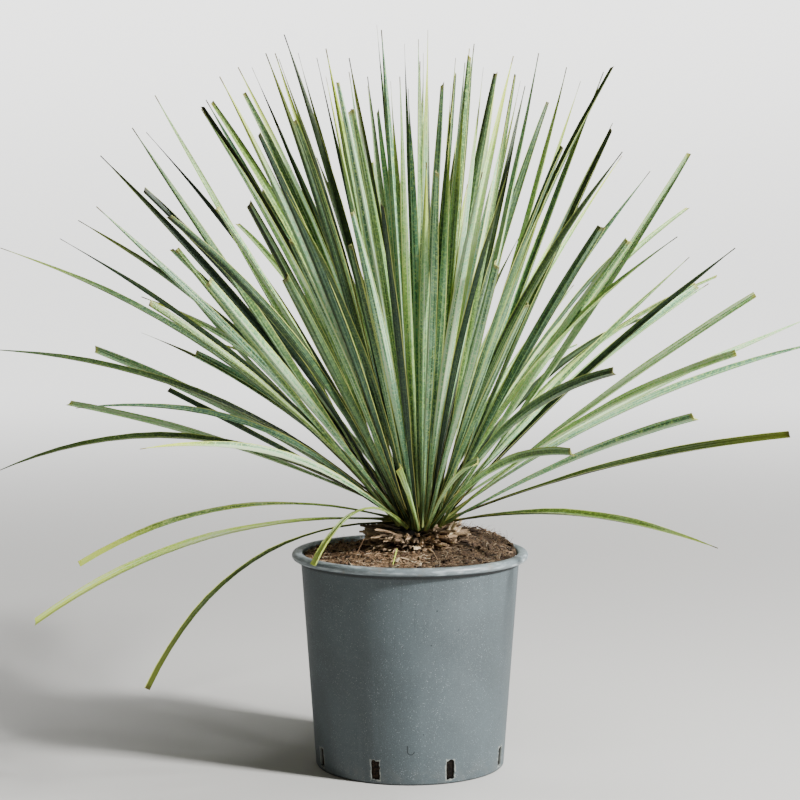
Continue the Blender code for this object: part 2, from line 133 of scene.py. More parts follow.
# Stump and crown
PLANT_X = 0.005
STUMP_RADIUS = 0.046
CROWN = Vector((0.012, 0.0, 0.281))
CROWN_RADIUS = 0.043
STEM_FOOT = 0.146
COLLAR_FOOT = 0.2330
COLLAR_TOP = 0.2605
FRONT_DIP = 0.0022

# Plates of the collar told apart at the front: degrees from the front towards the left,
# height, width and tone
SEEN_PLATES = (
    (51, 0.2502, 0.018, 0.84),
    (33, 0.2472, 0.021, 0.92),
    (40, 0.2436, 0.017, 0.70),
    (7, 0.2496, 0.013, 0.95),
    (-2, 0.2442, 0.012, 0.80),
    (-12, 0.2480, 0.011, 0.62),
    (72, 0.2570, 0.017, 0.58),
    (60, 0.2600, 0.015, 0.46),
    (-40, 0.2500, 0.017, 0.62),
    (-57, 0.2545, 0.015, 0.66),
    (15, 0.2540, 0.014, 0.50),
)

# Thickness of the unit flake before it is scaled
FLAKE_WALL = 0.12
COLLAR_SEED = 5
HUSK_COUNT = 15
CHIP_COUNT = 110
BARK_TORN = (0.50, 0.36, 0.22)

# Leaves
LEAF_WIDTH = 0.0130
LEAF_THICK = 0.0019
LEAF_LENGTH = 0.54
LEAF_ROOT_SUNK = 0.014
TIP_HALF_WIDTH = 0.00072
TAPER_START = 0.44
TAPER_POWER = 2.1
NECK_WIDTH = 0.37
NECK_START = 0.06
NECK_END = 0.50

# Blade section: fold of the two halves in degrees, the same at the foot on top of it, and
# the wave of the margins
BLADE_FOLD = 28.0
FOOT_FOLD = 20.0
EDGE_WAVE = 0.00035

# Ends: how steps crowd to a point, and how far a cut slants as a share of the length
POINT_CROWDING = 1.25
CUT_SLANT = 0.006
CORE_SIZE = (0.024, 0.024, 0.032)
CORE_LEVEL = 0.288
LOWEST_ROOT = 0.2625
FRONT_DROP = 0.007
SIDE_RISE = 0.007
ROOT_CLIMB = 0.018
BACK_CLIMB = 0.016
FRONT_SPREAD = 2.6
BACK_SPREAD = 1.6

# Steps that spread many pieces evenly without rows
GOLDEN_TURN = math.radians(137.508)
GOLDEN_SHARE = 0.381966
EVEN_SHARE = 0.754878

# Colours laid over the green of the leaves
LEAF_VEIN = (0.46, 0.60, 0.46)
LEAF_BLOOM = (0.34, 0.47, 0.42)
LEAF_MOTTLE = (0.40, 0.52, 0.22)
LEAF_DUST = (0.54, 0.64, 0.52)
LEAF_SPOT = (0.10, 0.075, 0.035)
LEAF_FOOT = (0.20, 0.26, 0.13)
LEAF_PALE_FOOT = (0.56, 0.58, 0.28)
LEAF_RIPE = (0.42, 0.50, 0.08)
LEAF_AGED = (0.52, 0.62, 0.16)
LEAF_NEEDLE = (0.13, 0.105, 0.075)
LEAF_DRY = (0.26, 0.24, 0.10)
LEAF_BRIGHTEST = (0.45, 0.56, 0.34)
LEAF_BROWN_EDGE = (0.30, 0.20, 0.07)
LEAF_CONTRAST = 1.85
LEAF_STRENGTH = (5.2, 4.5, 4.5)

# Floor, backdrop and room
FLOOR_REACH = 14.0
FLOOR_GLOW = 2.10
FLOOR_COLOUR = (0.52, 0.516, 0.50)
WALL_COLOUR = (1.0, 1.0, 0.99)
ROOM_COLOUR = (1.0, 0.95, 0.87)
ROOM_STRENGTH = 0.062
WALL_STRENGTH = FLOOR_GLOW * 1.1
WALL_AWAY = FLOOR_REACH * 0.36
WALL_BEND = 1.6
WALL_HEIGHT = 8.0
CAMERA_SHIFT = Vector((0.001, 0.0, 0.0))
LIT_POINT = Vector((0.0, 0.0, 0.45))

# Lights: name, place, size, share of the key light's power and colour
LIGHTS = (
    ("key", (2.5, -1.4, 1.9), 0.4, 1.0, (1.0, 0.99, 0.975)),
    ("fill", (-2.2, -2.2, 1.2), 2.0, 0.0145, (1.0, 0.89, 0.72)),
    ("top", (0.6, 0.2, 2.7), 0.9, 0.17, (1.0, 1.0, 1.0)),
)

# The shader's socket for how strongly a surface shines
GLOSS = "Specular IOR Level"

# Front viewpoint that the leaves below were read from
EYE = Vector((-0.012, -2.39, 0.610))
SEEN_FROM = Vector((0.014, 0.0, 0.264))

# Leaves told apart from the front. Each row: how far the tip is seen to the right of
# the crown and above it, how far it comes towards the front, how far the middle bows
# up (all in centimetres), the roll of the blade in degrees, and point or cut end.
POINT = "point"
CUT = "cut"
SEEN_LEAVES = (
    (-30.5, -18.5, 14, 5.6, 40, CUT), (-43, -11, 10, 3.8, -45, CUT), (-38, -4.5, 4, 3.9, 35, CUT),
    (-48, 5.5, -6, 6.5, -50, POINT), (-31, 8.5, 34, 3.4, 60, POINT), (-39, 13.5, -14, 1.3, -50, CUT),
    (-38, 13, 10, 4.5, 45, POINT), (-28, 15, -28, 0, 70, CUT), (-36, 19.5, -12, 1.2, -70, CUT),
    (-48, 19.5, -4, 4.2, -45, POINT), (-25, 19, -24, 1.4, -50, CUT), (-46, 30.5, 0, 3.8, -40, POINT),
    (-39.5, 31.5, -12, 2, 40, POINT), (-30, 24.5, 12, 1.3, -45, CUT), (-37.5, 33.5, -16, 2.7, -45, POINT),
    (-35.5, 35, 14, 0.9, 65, POINT), (-27, 30.5, 18, 0, -40, CUT), (-23.5, 27, 24, 0.2, 45, CUT),
    (-26, 26, -30, -1, 60, POINT), (-35, 40.5, -8, 1.2, -70, POINT), (-30.5, 37, 12, 1.9, 55, CUT),
    (-31.5, 43.5, 14, 0, 55, POINT), (-30, 43, -14, 2, 40, POINT), (-22.5, 35, 20, 0.6, -50, CUT),
    (-29, 47, 5, 0, -60, POINT), (-24, 46, -10, 1.7, -80, CUT), (-24, 45.5, 8, 1.6, 35, POINT),
    (-23.5, 46.5, -16, 1.2, -40, POINT), (-23, 46.5, -6, 2.1, -70, CUT), (-19, 35.5, 22, 0.9, 45, CUT),
    (-14.5, 31.5, 24, 0.5, -40, CUT), (-22, 49, 8, 1.5, 60, POINT), (-21.5, 48, -12, 1.2, 45, POINT),
    (-20, 50, 0, 1.6, -70, POINT), (-19.5, 47.5, 2, 1.8, -75, CUT), (-19, 46.5, -14, 1.6, 45, CUT),
    (-18.5, 50, -15, 1.2, 40, POINT), (-17, 51.5, 10, 1.4, 50, POINT), (-16, 51.5, 4, 0.8, -65, POINT),
    (-15, 53.5, 5, 1.3, 50, POINT), (-14, 44.5, 12, 1.3, -60, CUT), (-13.5, 51.5, -10, 0.4, 40, POINT),
    (-11.5, 51, -14, 0.4, 45, POINT), (-10.5, 52, 6, 0.5, 60, POINT), (-10.5, 49, 16, 0.4, -60, POINT),
    (-8, 49.5, 15, 0.3, 60, POINT), (-8, 51, -6, 0.6, -40, POINT), (-6, 49, -18, 0.2, -40, POINT),
    (-6, 48, -20, 0, 50, POINT), (-5, 54.5, -8, 0.2, 40, POINT), (-4.5, 54, 5, 0.2, 40, POINT),
    (-3.5, 48.5, 12, 0.2, -50, POINT), (-2.5, 49, 16, 0, 50, POINT), (-2, 52.5, 8, 0.3, -60, POINT),
    (-0.5, 53, -16, 0, 40, POINT), (0.5, 54, 12, 0, 50, POINT), (0.5, 50.5, -14, 0, 55, POINT),
    (0, 51.5, -10, 0.3, -60, POINT), (3, 48, -16, -0.4, -60, POINT), (3, 44, 18, -0.5, -60, POINT),
    (3.5, 49.5, -8, 0, -45, CUT), (3.5, 51, -18, 0, -40, POINT), (5, 51.5, 5, 0, -50, CUT),
    (5, 52, -13, 0, 45, POINT), (5.5, 52.5, -10, 0, 40, POINT), (4.5, 50.5, -16, -0.3, 45, POINT),
    (6.5, 50, 16, -0.3, 50, POINT), (8, 49.5, -18, 0, 40, POINT), (4.5, 46.5, 14, 0.5, -55, POINT),
    (10, 49.5, 14, -0.4, 50, CUT), (10.5, 48.5, -13, 0, -40, POINT), (11, 48, -20, 0, 45, POINT),
    (12.5, 51.5, 5, -0.4, 50, POINT), (9.5, 47, -10, -0.3, -55, POINT), (10.5, 38.5, -32, 0, 40, POINT),
    (15.5, 50, 5, -0.5, 50, POINT), (17, 48.5, -10, -0.2, -40, POINT), (13.5, 36.5, 30, 0, 60, POINT),
    (19.5, 49.5, 5, 0.3, 50, POINT), (16.5, 42, -22, 0, -60, POINT), (20.5, 44, -12, 0.3, -60, POINT),
    (20.5, 43.5, 15, 0.2, 60, CUT), (19.5, 33, 20, 0.8, -50, CUT), (29, 41, 4, -0.7, 70, CUT),
    (22.5, 31.5, 20, 0.6, -50, CUT), (29, 29.5, -10, 0.6, -50, POINT), (34, 30.5, 8, 1, 65, POINT),
    (30, 26.5, -14, 1.2, 60, CUT), (36.5, 25.5, 10, 0.6, 60, CUT), (42.5, 23, -10, 1.1, 55, POINT),
    (34.5, 19, 18, 2, 65, CUT), (44.5, 20.5, 5, 2.4, 60, POINT), (30, 12, 20, 1, -65, CUT),
    (40.5, 10, 10, 1.4, 60, CUT), (32.5, -2.5, 16, 2.2, 50, POINT), (16.5, 8, 36, 2.6, -60, CUT),
    (21, 17, 33, 3.2, -60, CUT), (6, 7, 24, 1.5, 50, CUT), (-2.5, 6.5, 20, 0.5, 60, CUT),
    (-12, -4.5, 18, 4, 22, CUT), (-8, 31, 24, 0.3, -50, CUT), (8, 29, 28, 0, -60, CUT),
    (11.5, 24.5, 26, 0, 45, CUT), (1.5, 39, 30, 0, -45, CUT), (-5.5, 40, -26, 0, -60, CUT),
    (-4.5, 35.5, 32, 0, -45, CUT), (-15, 27.5, 28, 0.3, 50, CUT), (-12, 18, -34, 0, -50, CUT),
)

# The leaves that stand behind and among those
FILL_COUNT = 165
FILL_SEED = 7
BLADE_SEED = 12
FILL_LENGTHS = (0.84, 0.99)
FILL_ROLLS = (10, 55)
FILL_POINTED_SHARE = 0.6

# Values kept on the points of a blade: its tone, its seed and whether its end is cut
BLADE_MARKS = ("tone", "seed", "cut_end")


class YuccaPotSettings(bpy.types.PropertyGroup):
    """What a user would change on the pot."""

    sides: IntProperty(name="Sides", description="Steps round the pot", default=192, min=32)
    colour: FloatVectorProperty(
        name="Plastic", description="Colour of the moulded plastic", subtype="COLOR",
        size=3, min=0.0, max=1.0, default=(0.0560, 0.0740, 0.0815),
    )
    speck_size: FloatProperty(
        name="Speck spacing", description="Distance between the pale specks",
        default=0.0012, unit="LENGTH",
    )


class YuccaSoilSettings(bpy.types.PropertyGroup):
    """What a user would change on the soil."""

    crumbs: IntProperty(name="Crumbs", description="Loose crumbs on the soil", default=1200, min=0)
    fibres: IntProperty(name="Fibres", description="Curled coir fibres", default=3500, min=0)
    chips: IntProperty(name="Chips", description="Bark chips and splinters", default=60, min=0)
    colour: FloatVectorProperty(
        name="Peat", description="Colour of the damp peat", subtype="COLOR",
        size=3, min=0.0, max=1.0, default=(0.105, 0.064, 0.034),
    )


class YuccaStumpSettings(bpy.types.PropertyGroup):
    """What a user would change on the stump."""

    flakes: IntProperty(name="Flakes", description="Papery old leaf bases", default=320, min=0)
    reach: FloatProperty(
        name="Flake reach", description="How far a flake stands off the stump",
        default=0.0085, unit="LENGTH",
    )
    colour: FloatVectorProperty(
        name="Bark", description="Colour of the old leaf bases", subtype="COLOR",
        size=3, min=0.0, max=1.0, default=(0.240, 0.162, 0.098),
    )


class YuccaLeafSettings(bpy.types.PropertyGroup):
    """What a user would change on the leaves."""

    width: FloatProperty(
        name="Leaf width", description="Width of a blade at its fullest",
        default=LEAF_WIDTH, unit="LENGTH",
    )
    steps: IntProperty(name="Steps", description="Lengthwise steps of a blade", default=16, min=4)
    colour: FloatVectorProperty(
        name="Green", description="Blue-green of the blades", subtype="COLOR",
        size=3, min=0.0, max=1.0, default=(0.188, 0.282, 0.190),
    )
    margin: FloatVectorProperty(
        name="Margin", description="Yellow of the thin margins", subtype="COLOR",
        size=3, min=0.0, max=1.0, default=(0.46, 0.51, 0.13),
    )


class YuccaStageSettings(bpy.types.PropertyGroup):
    """Camera and light."""

    lens: FloatProperty(name="Lens", description="Focal length", default=98.6, unit="CAMERA")
    pitch: FloatProperty(
        name="Pitch", description="How far the camera looks down",
        default=math.radians(4.95), subtype="ANGLE",
    )
    key_power: FloatProperty(name="Key light", description="Power of the main light", default=345.0)


# Shader nodes


def add_node(tree, kind, inputs=None, **settings):
    """Add a node, set its options and fill its sockets with values or links."""
    node = tree.nodes.new(kind)
    node.location = (180.0 * (len(tree.nodes) % 12), -220.0 * (len(tree.nodes) // 12))
    for name, value in settings.items():
        setattr(node, name, value)
    fill(tree, node, inputs or {})
    return node


def fill(tree, node, inputs):
    """Fill a node's sockets with values or links."""
    for key, value in inputs.items():
        if isinstance(value, bpy.types.NodeSocket):
            tree.links.new(value, node.inputs[key])
        else:
            node.inputs[key].default_value = value


def maths(tree, operation, first, second=0.0, third=0.0, clamp=False):
    """One Math node."""
    inputs = {0: first, 1: second, 2: third}
    node = add_node(tree, "ShaderNodeMath", inputs, operation=operation, use_clamp=clamp)
    return node.outputs[0]


def plus(tree, first, second):
    """Sum of two values."""
    return maths(tree, "ADD", first, second)


def minus(tree, first, second, clamp=False):
    """First value less the second."""
    return maths(tree, "SUBTRACT", first, second, clamp=clamp)


def times(tree, first, second):
    """Product of two values."""
    return maths(tree, "MULTIPLY", first, second)


def inverse(tree, mask):
    """What a mask leaves out."""
    return minus(tree, 1.0, mask)


def span(tree, value, low, high, to_low=0.0, to_high=1.0, smooth=True):
    """Map a value from one range to another and clamp it."""
    kind = "SMOOTHSTEP" if smooth else "LINEAR"
    inputs = {0: value, 1: low, 2: high, 3: to_low, 4: to_high}
    node = add_node(tree, "ShaderNodeMapRange", inputs, interpolation_type=kind, clamp=True)
    return node.outputs[0]


def mix(tree, share, first, second, blend="MIX"):
    """Mix two colours."""
    inputs = {0: share, 6: rgba(first), 7: rgba(second)}
    node = add_node(tree, "ShaderNodeMix", inputs, data_type="RGBA", blend_type=blend)
    return node.outputs[2]


def tint(tree, tone, mask, strength, colour):
    """Lay a colour over a tone where a mask lies."""
    return mix(tree, times(tree, mask, strength), tone, colour)


def lay(tree, tone, layers):
    """Lay colours over a tone in turn: each has its mask, its strength and its colour."""
    for mask, strength, colour in layers:
        tone = tint(tree, tone, mask, strength, colour)
    return tone


def scaled(tree, colour, value):
    """A colour made lighter or darker by a value."""
    inputs = {0: colour, "Scale": value}
    return add_node(tree, "ShaderNodeVectorMath", inputs, operation="SCALE").outputs[0]


def ramp(tree, value, stops):
    """Colour ramp through (place, colour) stops, the first at 0 and the last at 1."""
    node = add_node(tree, "ShaderNodeValToRGB", {0: value})
    elements = node.color_ramp.elements
    elements[0].color = rgba(stops[0][1])
    elements[1].color = rgba(stops[-1][1])
    for place, colour in stops[1:-1]:
        elements.new(place).color = rgba(colour)
    return node.outputs[0]


def rgba(colour):
    """A colour as a socket wants it: links stay links."""
    if isinstance(colour, bpy.types.NodeSocket):
        return colour
    return (*tuple(colour)[:3], 1.0)


def stretch(tree, vector, scale):
    """Scale a vector by different amounts along its axes."""
    inputs = {0: vector, 1: scale}
    return add_node(tree, "ShaderNodeVectorMath", inputs, operation="MULTIPLY").outputs[0]


def grain(tree, vector, scale, detail=3.0, roughness=0.55):
    """Noise value of a vector."""
    inputs = {"Vector": vector, "Scale": scale, "Detail": detail, "Roughness": roughness}
    return add_node(tree, "ShaderNodeTexNoise", inputs).outputs[0]


def object_place(tree):
    """Object coordinates."""
    return add_node(tree, "ShaderNodeTexCoord").outputs["Object"]


def axes_of(tree, vector):
    """X, Y and Z of a vector."""
    return add_node(tree, "ShaderNodeSeparateXYZ", {0: vector}).outputs


def attribute(tree, name):
    """Value that is kept in the mesh under a name."""
    return add_node(tree, "ShaderNodeAttribute", attribute_name=name).outputs["Fac"]


def bump(tree, height, strength, distance):
    """Normal from a height."""
    inputs = {"Height": height, "Strength": strength, "Distance": distance}
    return add_node(tree, "ShaderNodeBump", inputs).outputs[0]


def start_material(name):
    """A material with its tree and its shader."""
    material = bpy.data.materials.new(name)
    material.use_nodes = True
    return material, material.node_tree, material.node_tree.nodes["Principled BSDF"]


def start_group(name, inputs, outputs):
    """A new node group with named sockets."""
    tree = bpy.data.node_groups.new(name, "ShaderNodeTree")
    for label, kind, value in inputs:
        socket = tree.interface.new_socket(label, in_out="INPUT", socket_type=kind)
        if value is not None:
            socket.default_value = value
    for label, kind in outputs:
        tree.interface.new_socket(label, in_out="OUTPUT", socket_type=kind)
    return tree, tree.nodes.new("NodeGroupInput").outputs, tree.nodes.new("NodeGroupOutput")


def place_group(tree, group, inputs):
    """Place a node group in a material and fill its sockets."""
    node = add_node(tree, "ShaderNodeGroup", node_tree=group)
    fill(tree, node, inputs)
    return node.outputs[0]


def specks_group():
    """Scattered round specks of uneven size: a mask."""
    name = "Scattered specks"
    if name in bpy.data.node_groups:
        return bpy.data.node_groups[name]
    inputs = (
        ("Place", "NodeSocketVector", None),
        ("Scale", "NodeSocketFloat", 600.0),
        ("Share", "NodeSocketFloat", 0.3),
        ("Radius", "NodeSocketFloat", 0.25),
    )
    tree, given, result = start_group(name, inputs, (("Mask", "NodeSocketFloat"),))
    cells = add_node(tree, "ShaderNodeTexVoronoi", {"Vector": given[0], "Scale": given[1]})
    pick = add_node(tree, "ShaderNodeSeparateColor", {0: cells.outputs["Color"]})
    chosen = maths(tree, "LESS_THAN", pick.outputs[0], given[2])
    size = times(tree, given[3], plus(tree, pick.outputs[1], 0.35))
    inside = inverse(tree, span(tree, cells.outputs["Distance"], 0.0, size))
    tree.links.new(times(tree, chosen, inside), result.inputs[0])
    return tree


def specks(tree, place, scale, share, radius):
    """Place the speck group in a material."""
    inputs = {"Place": place, "Scale": scale, "Share": share, "Radius": radius}
    return place_group(tree, specks_group(), inputs)


def streaks_group():
    """Noise drawn out along one way: a value round 0.5."""
    name = "Drawn streaks"
    if name in bpy.data.node_groups:
        return bpy.data.node_groups[name]
    inputs = (
        ("Place", "NodeSocketVector", None),
        ("Stretch", "NodeSocketVector", (60.0, 60.0, 3.0)),
        ("Detail", "NodeSocketFloat", 3.0),
    )
    tree, given, result = start_group(name, inputs, (("Value", "NodeSocketFloat"),))
    drawn = stretch(tree, given[0], given[1])
    tree.links.new(grain(tree, drawn, 1.0, given[2], 0.6), result.inputs[0])
    return tree


def streaks(tree, place, scale, detail=3.0):
    """Place the streak group in a material."""
    inputs = {"Place": place, "Stretch": scale, "Detail": detail}
    return place_group(tree, streaks_group(), inputs)


# Mesh helpers


def as_mesh(bm, name):
    """Turn a bmesh into a mesh."""
    mesh = bpy.data.meshes.new(name)
    bm.to_mesh(mesh)
    bm.free()
    return mesh


def new_object(name, data):
    """New object in the scene."""
    thing = bpy.data.objects.new(name, data)
    bpy.context.scene.collection.objects.link(thing)
    return thing


def random_shift(rng, reach):
    """Random way into the noise."""
    return Vector((rng.random(), rng.random(), rng.random())) * reach


def place_piece(name, bm, material, stands_for=(), sharp=35.0):
    """Turn a bmesh into a shaded piece that rides on the root body."""
    mesh = as_mesh(bm, name)
    mesh.materials.append(material)
    mesh.shade_smooth()
    mesh.set_sharp_from_angle(angle=math.radians(sharp))
    piece = new_object(name, mesh)
    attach(piece, "root")
    if stands_for:
        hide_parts(*stands_for)
    return piece


def spin_profile(outline, sides):
    """Turn an outline of (radius, height) points once round Z."""
    bm = bmesh.new()
    points = [bm.verts.new((radius, 0.0, height)) for radius, height in outline]
    edges = [bm.edges.new(pair) for pair in zip(points, points[1:])]
    bmesh.ops.spin(
        bm, geom=points + edges, axis=(0, 0, 1), cent=(0, 0, 0),
        steps=sides, angle=math.tau, use_merge=True, use_duplicate=False,
    )
    bmesh.ops.remove_doubles(bm, verts=bm.verts, dist=0.00001)
    bmesh.ops.recalc_face_normals(bm, faces=bm.faces)
    return bm


def round_rod(sides, steps, tip=1.0):
    """Unit rod along Z from 0 to 1 with even steps, used as a template."""
    bm = bmesh.new()
    bmesh.ops.create_cone(
        bm, cap_ends=True, segments=sides, radius1=1.0, radius2=tip, depth=1.0,
        matrix=Matrix.Translation((0, 0, 0.5)),
    )
    for step in range(1, steps):
        bmesh.ops.bisect_plane(
            bm, geom=bm.verts[:] + bm.edges[:] + bm.faces[:], dist=0.00001,
            plane_co=(0, 0, step / steps), plane_no=(0, 0, 1),
        )
    return bm


def add_copy(bm, template, move, marks):
    """Add a copy of a template mesh, mark its points and move them.

    A mark is a value, or a function that gives the value at a point of the template.
    """
    first = len(bm.verts)
    bm.from_mesh(template)
    bm.verts.ensure_lookup_table()
    for index in range(first, len(bm.verts)):
        vert = bm.verts[index]
        for layer, value in marks.items():
            vert[layer] = value(vert.co) if callable(value) else value
        vert.co = move(vert.co)


# Pot


def pot_inner_radius(height):
    """Inside radius of the pot's wall at a height."""
    share = height / (POT_HEIGHT - POT_LIP_DEPTH)
    return POT_BASE_RADIUS + (POT_NECK_RADIUS - POT_BASE_RADIUS) * share - POT_WALL


def pot_outline():
    """Half section of the pot with a softly rolled lip and a rounded foot."""
    lip_foot = POT_HEIGHT - POT_LIP_DEPTH
    edge = FOOT_ROUND
    inner_top = pot_inner_radius(POT_HEIGHT - 0.0030)
    points = [(0.0, 0.0006), (POT_BASE_RADIUS * 0.55, 0.0006), (POT_BASE_RADIUS - 0.006, 0.0)]
    for step in range(6):
        turn = math.pi / 2 * step / 5
        points.append((
            POT_BASE_RADIUS - edge + edge * math.sin(turn), edge - edge * math.cos(turn)
        ))
    for step in range(1, 16):
        share = step / 16
        points.append((
            POT_BASE_RADIUS + (POT_NECK_RADIUS - POT_BASE_RADIUS) * share,
            edge + (lip_foot - 0.0010 - edge) * share,
        ))
    points.append((POT_NECK_RADIUS + 0.0002, lip_foot - 0.0006))
    points.append((POT_NECK_RADIUS + 0.0010, lip_foot))
    roll = POT_LIP_DEPTH / 2
    for step in range(15):
        turn = math.pi * (step / 14 - 0.5)
        points.append((
            POT_LIP_RADIUS - roll + roll * math.cos(turn), lip_foot + roll + roll * math.sin(turn)
        ))
    points.append((inner_top + 0.0026, POT_HEIGHT - 0.0001))
    points.append((inner_top + 0.0010, POT_HEIGHT - 0.0009))
    points.append((inner_top + 0.0002, POT_HEIGHT - 0.0022))
    points.append((inner_top, POT_HEIGHT - 0.0040))
    points.append((pot_inner_radius(0.120), 0.120))
    points.append((pot_inner_radius(POT_FLOOR), POT_FLOOR))
    points.append((0.0, POT_FLOOR))
    return points


def slot_cutter(turn):
    """Block with rounded corners and a ragged outline that cuts one drain slot."""
    bm = bmesh.new()
    size = Matrix.Diagonal((0.024, SLOT_WIDTH, SLOT_HEIGHT, 1.0))
    bmesh.ops.create_cube(bm, size=1.0, matrix=size)
    long_edges = [
        edge for edge in bm.edges if abs(edge.verts[0].co.x - edge.verts[1].co.x) > 0.01
    ]
    bmesh.ops.bevel(
        bm, geom=long_edges, offset=0.0011, offset_type="OFFSET", segments=3,
        profile=0.5, affect="EDGES", material=-1,
    )
    outline = [
        edge for edge in bm.edges if abs(edge.verts[0].co.x - edge.verts[1].co.x) < 0.01
    ]
    bmesh.ops.subdivide_edges(bm, edges=outline, cuts=5, use_grid_fill=False)
    for vert in bm.verts:
        spot = Vector((vert.co.y * 420.0, vert.co.z * 420.0, turn * 9.0))
        vert.co.y += SLOT_RAGGED * noise.noise(spot)
        vert.co.z += SLOT_RAGGED * noise.noise(spot + Vector((0.0, 0.0, 50.0)))
    place = Matrix.Rotation(turn, 4, "Z") @ Matrix.Translation(
        (POT_BASE_RADIUS, 0.0, SLOT_BOTTOM + SLOT_HEIGHT / 2)
    )
    bmesh.ops.transform(bm, matrix=place, verts=bm.verts)
    return new_object("slot_cutter", as_mesh(bm, "slot_cutter"))


def cut_slots(pot):
    """Cut all drain slots out of the pot's wall."""
    cutters = [
        slot_cutter(SLOT_FIRST_TURN + math.tau * index / SLOT_COUNT)
        for index in range(SLOT_COUNT)
    ]
    for cutter in cutters:
        cut = pot.modifiers.new("slot", "BOOLEAN")
        cut.operation = "DIFFERENCE"
        cut.solver = "EXACT"
        cut.object = cutter
    bpy.context.view_layer.update()
    graph = bpy.context.evaluated_depsgraph_get()
    mesh = bpy.data.meshes.new_from_object(pot.evaluated_get(graph))
    pot.modifiers.clear()
    pot.data = mesh
    mesh.name = "pot_shell"
    for cutter in cutters:
        bpy.data.objects.remove(cutter, do_unlink=True)
    mesh.shade_smooth()
    mesh.set_sharp_from_angle(angle=math.radians(32))


def slot_rim_mask(tree, axes):
    """Mask of the thin flash round each drain slot."""
    angle = maths(tree, "ARCTAN2", axes[1], axes[0])
    turns = maths(tree, "DIVIDE", minus(tree, angle, SLOT_FIRST_TURN), math.tau / SLOT_COUNT)
    off = maths(tree, "ABSOLUTE", minus(tree, turns, maths(tree, "ROUND", turns)))
    arc = times(tree, off, math.tau / SLOT_COUNT * POT_BASE_RADIUS)
    aside = minus(tree, arc, SLOT_WIDTH / 2)
    middle = SLOT_BOTTOM + SLOT_HEIGHT / 2
    above = maths(tree, "ABSOLUTE", minus(tree, axes[2], middle))
    beyond = minus(tree, above, SLOT_HEIGHT / 2)
    out = maths(tree, "MAXIMUM", aside, beyond)
    ragged = span(tree, grain(tree, object_place(tree), 260.0, 3.0), 0.35, 0.65, 0.0002, 0.0026)
    return inverse(tree, span(tree, maths(tree, "DIVIDE", out, ragged), 0.35, 1.0))


def near(tree, axes, x, z):
    """Distance from a point on the front of the pot, seen along Y."""
    aside = minus(tree, axes[0], x)
    above = minus(tree, axes[2], z)
    square = maths(tree, "MULTIPLY_ADD", aside, aside, times(tree, above, above))
    return maths(tree, "SQRT", square)


def scuff_mask(tree, axes):
    """Mask of the hooked scuff and the dark specks on the front of the pot."""
    hook_x, hook_z = SCUFF_PLACE
    ring = maths(tree, "ABSOLUTE", minus(tree, near(tree, axes, hook_x, hook_z), SCUFF_RADIUS))
    ring = inverse(tree, span(tree, ring, 0.0003, 0.0008))
    below = maths(tree, "LESS_THAN", axes[2], hook_z)
    stem = maths(tree, "ABSOLUTE", minus(tree, axes[0], hook_x - SCUFF_RADIUS))
    stem = inverse(tree, span(tree, stem, 0.0004, 0.0010))
    tall = maths(tree, "ABSOLUTE", minus(tree, axes[2], hook_z + SCUFF_RADIUS * 0.6))
    stem = times(tree, stem, maths(tree, "LESS_THAN", tall, SCUFF_RADIUS * 1.1))
    mask = maths(tree, "MAXIMUM", times(tree, ring, below), stem)
    for x, z, radius in DARK_SPECKS:
        speck = inverse(tree, span(tree, near(tree, axes, x, z), radius * 0.4, radius))
        mask = maths(tree, "MAXIMUM", mask, speck)
    front = maths(tree, "LESS_THAN", axes[1], 0.0)
    return times(tree, mask, front)


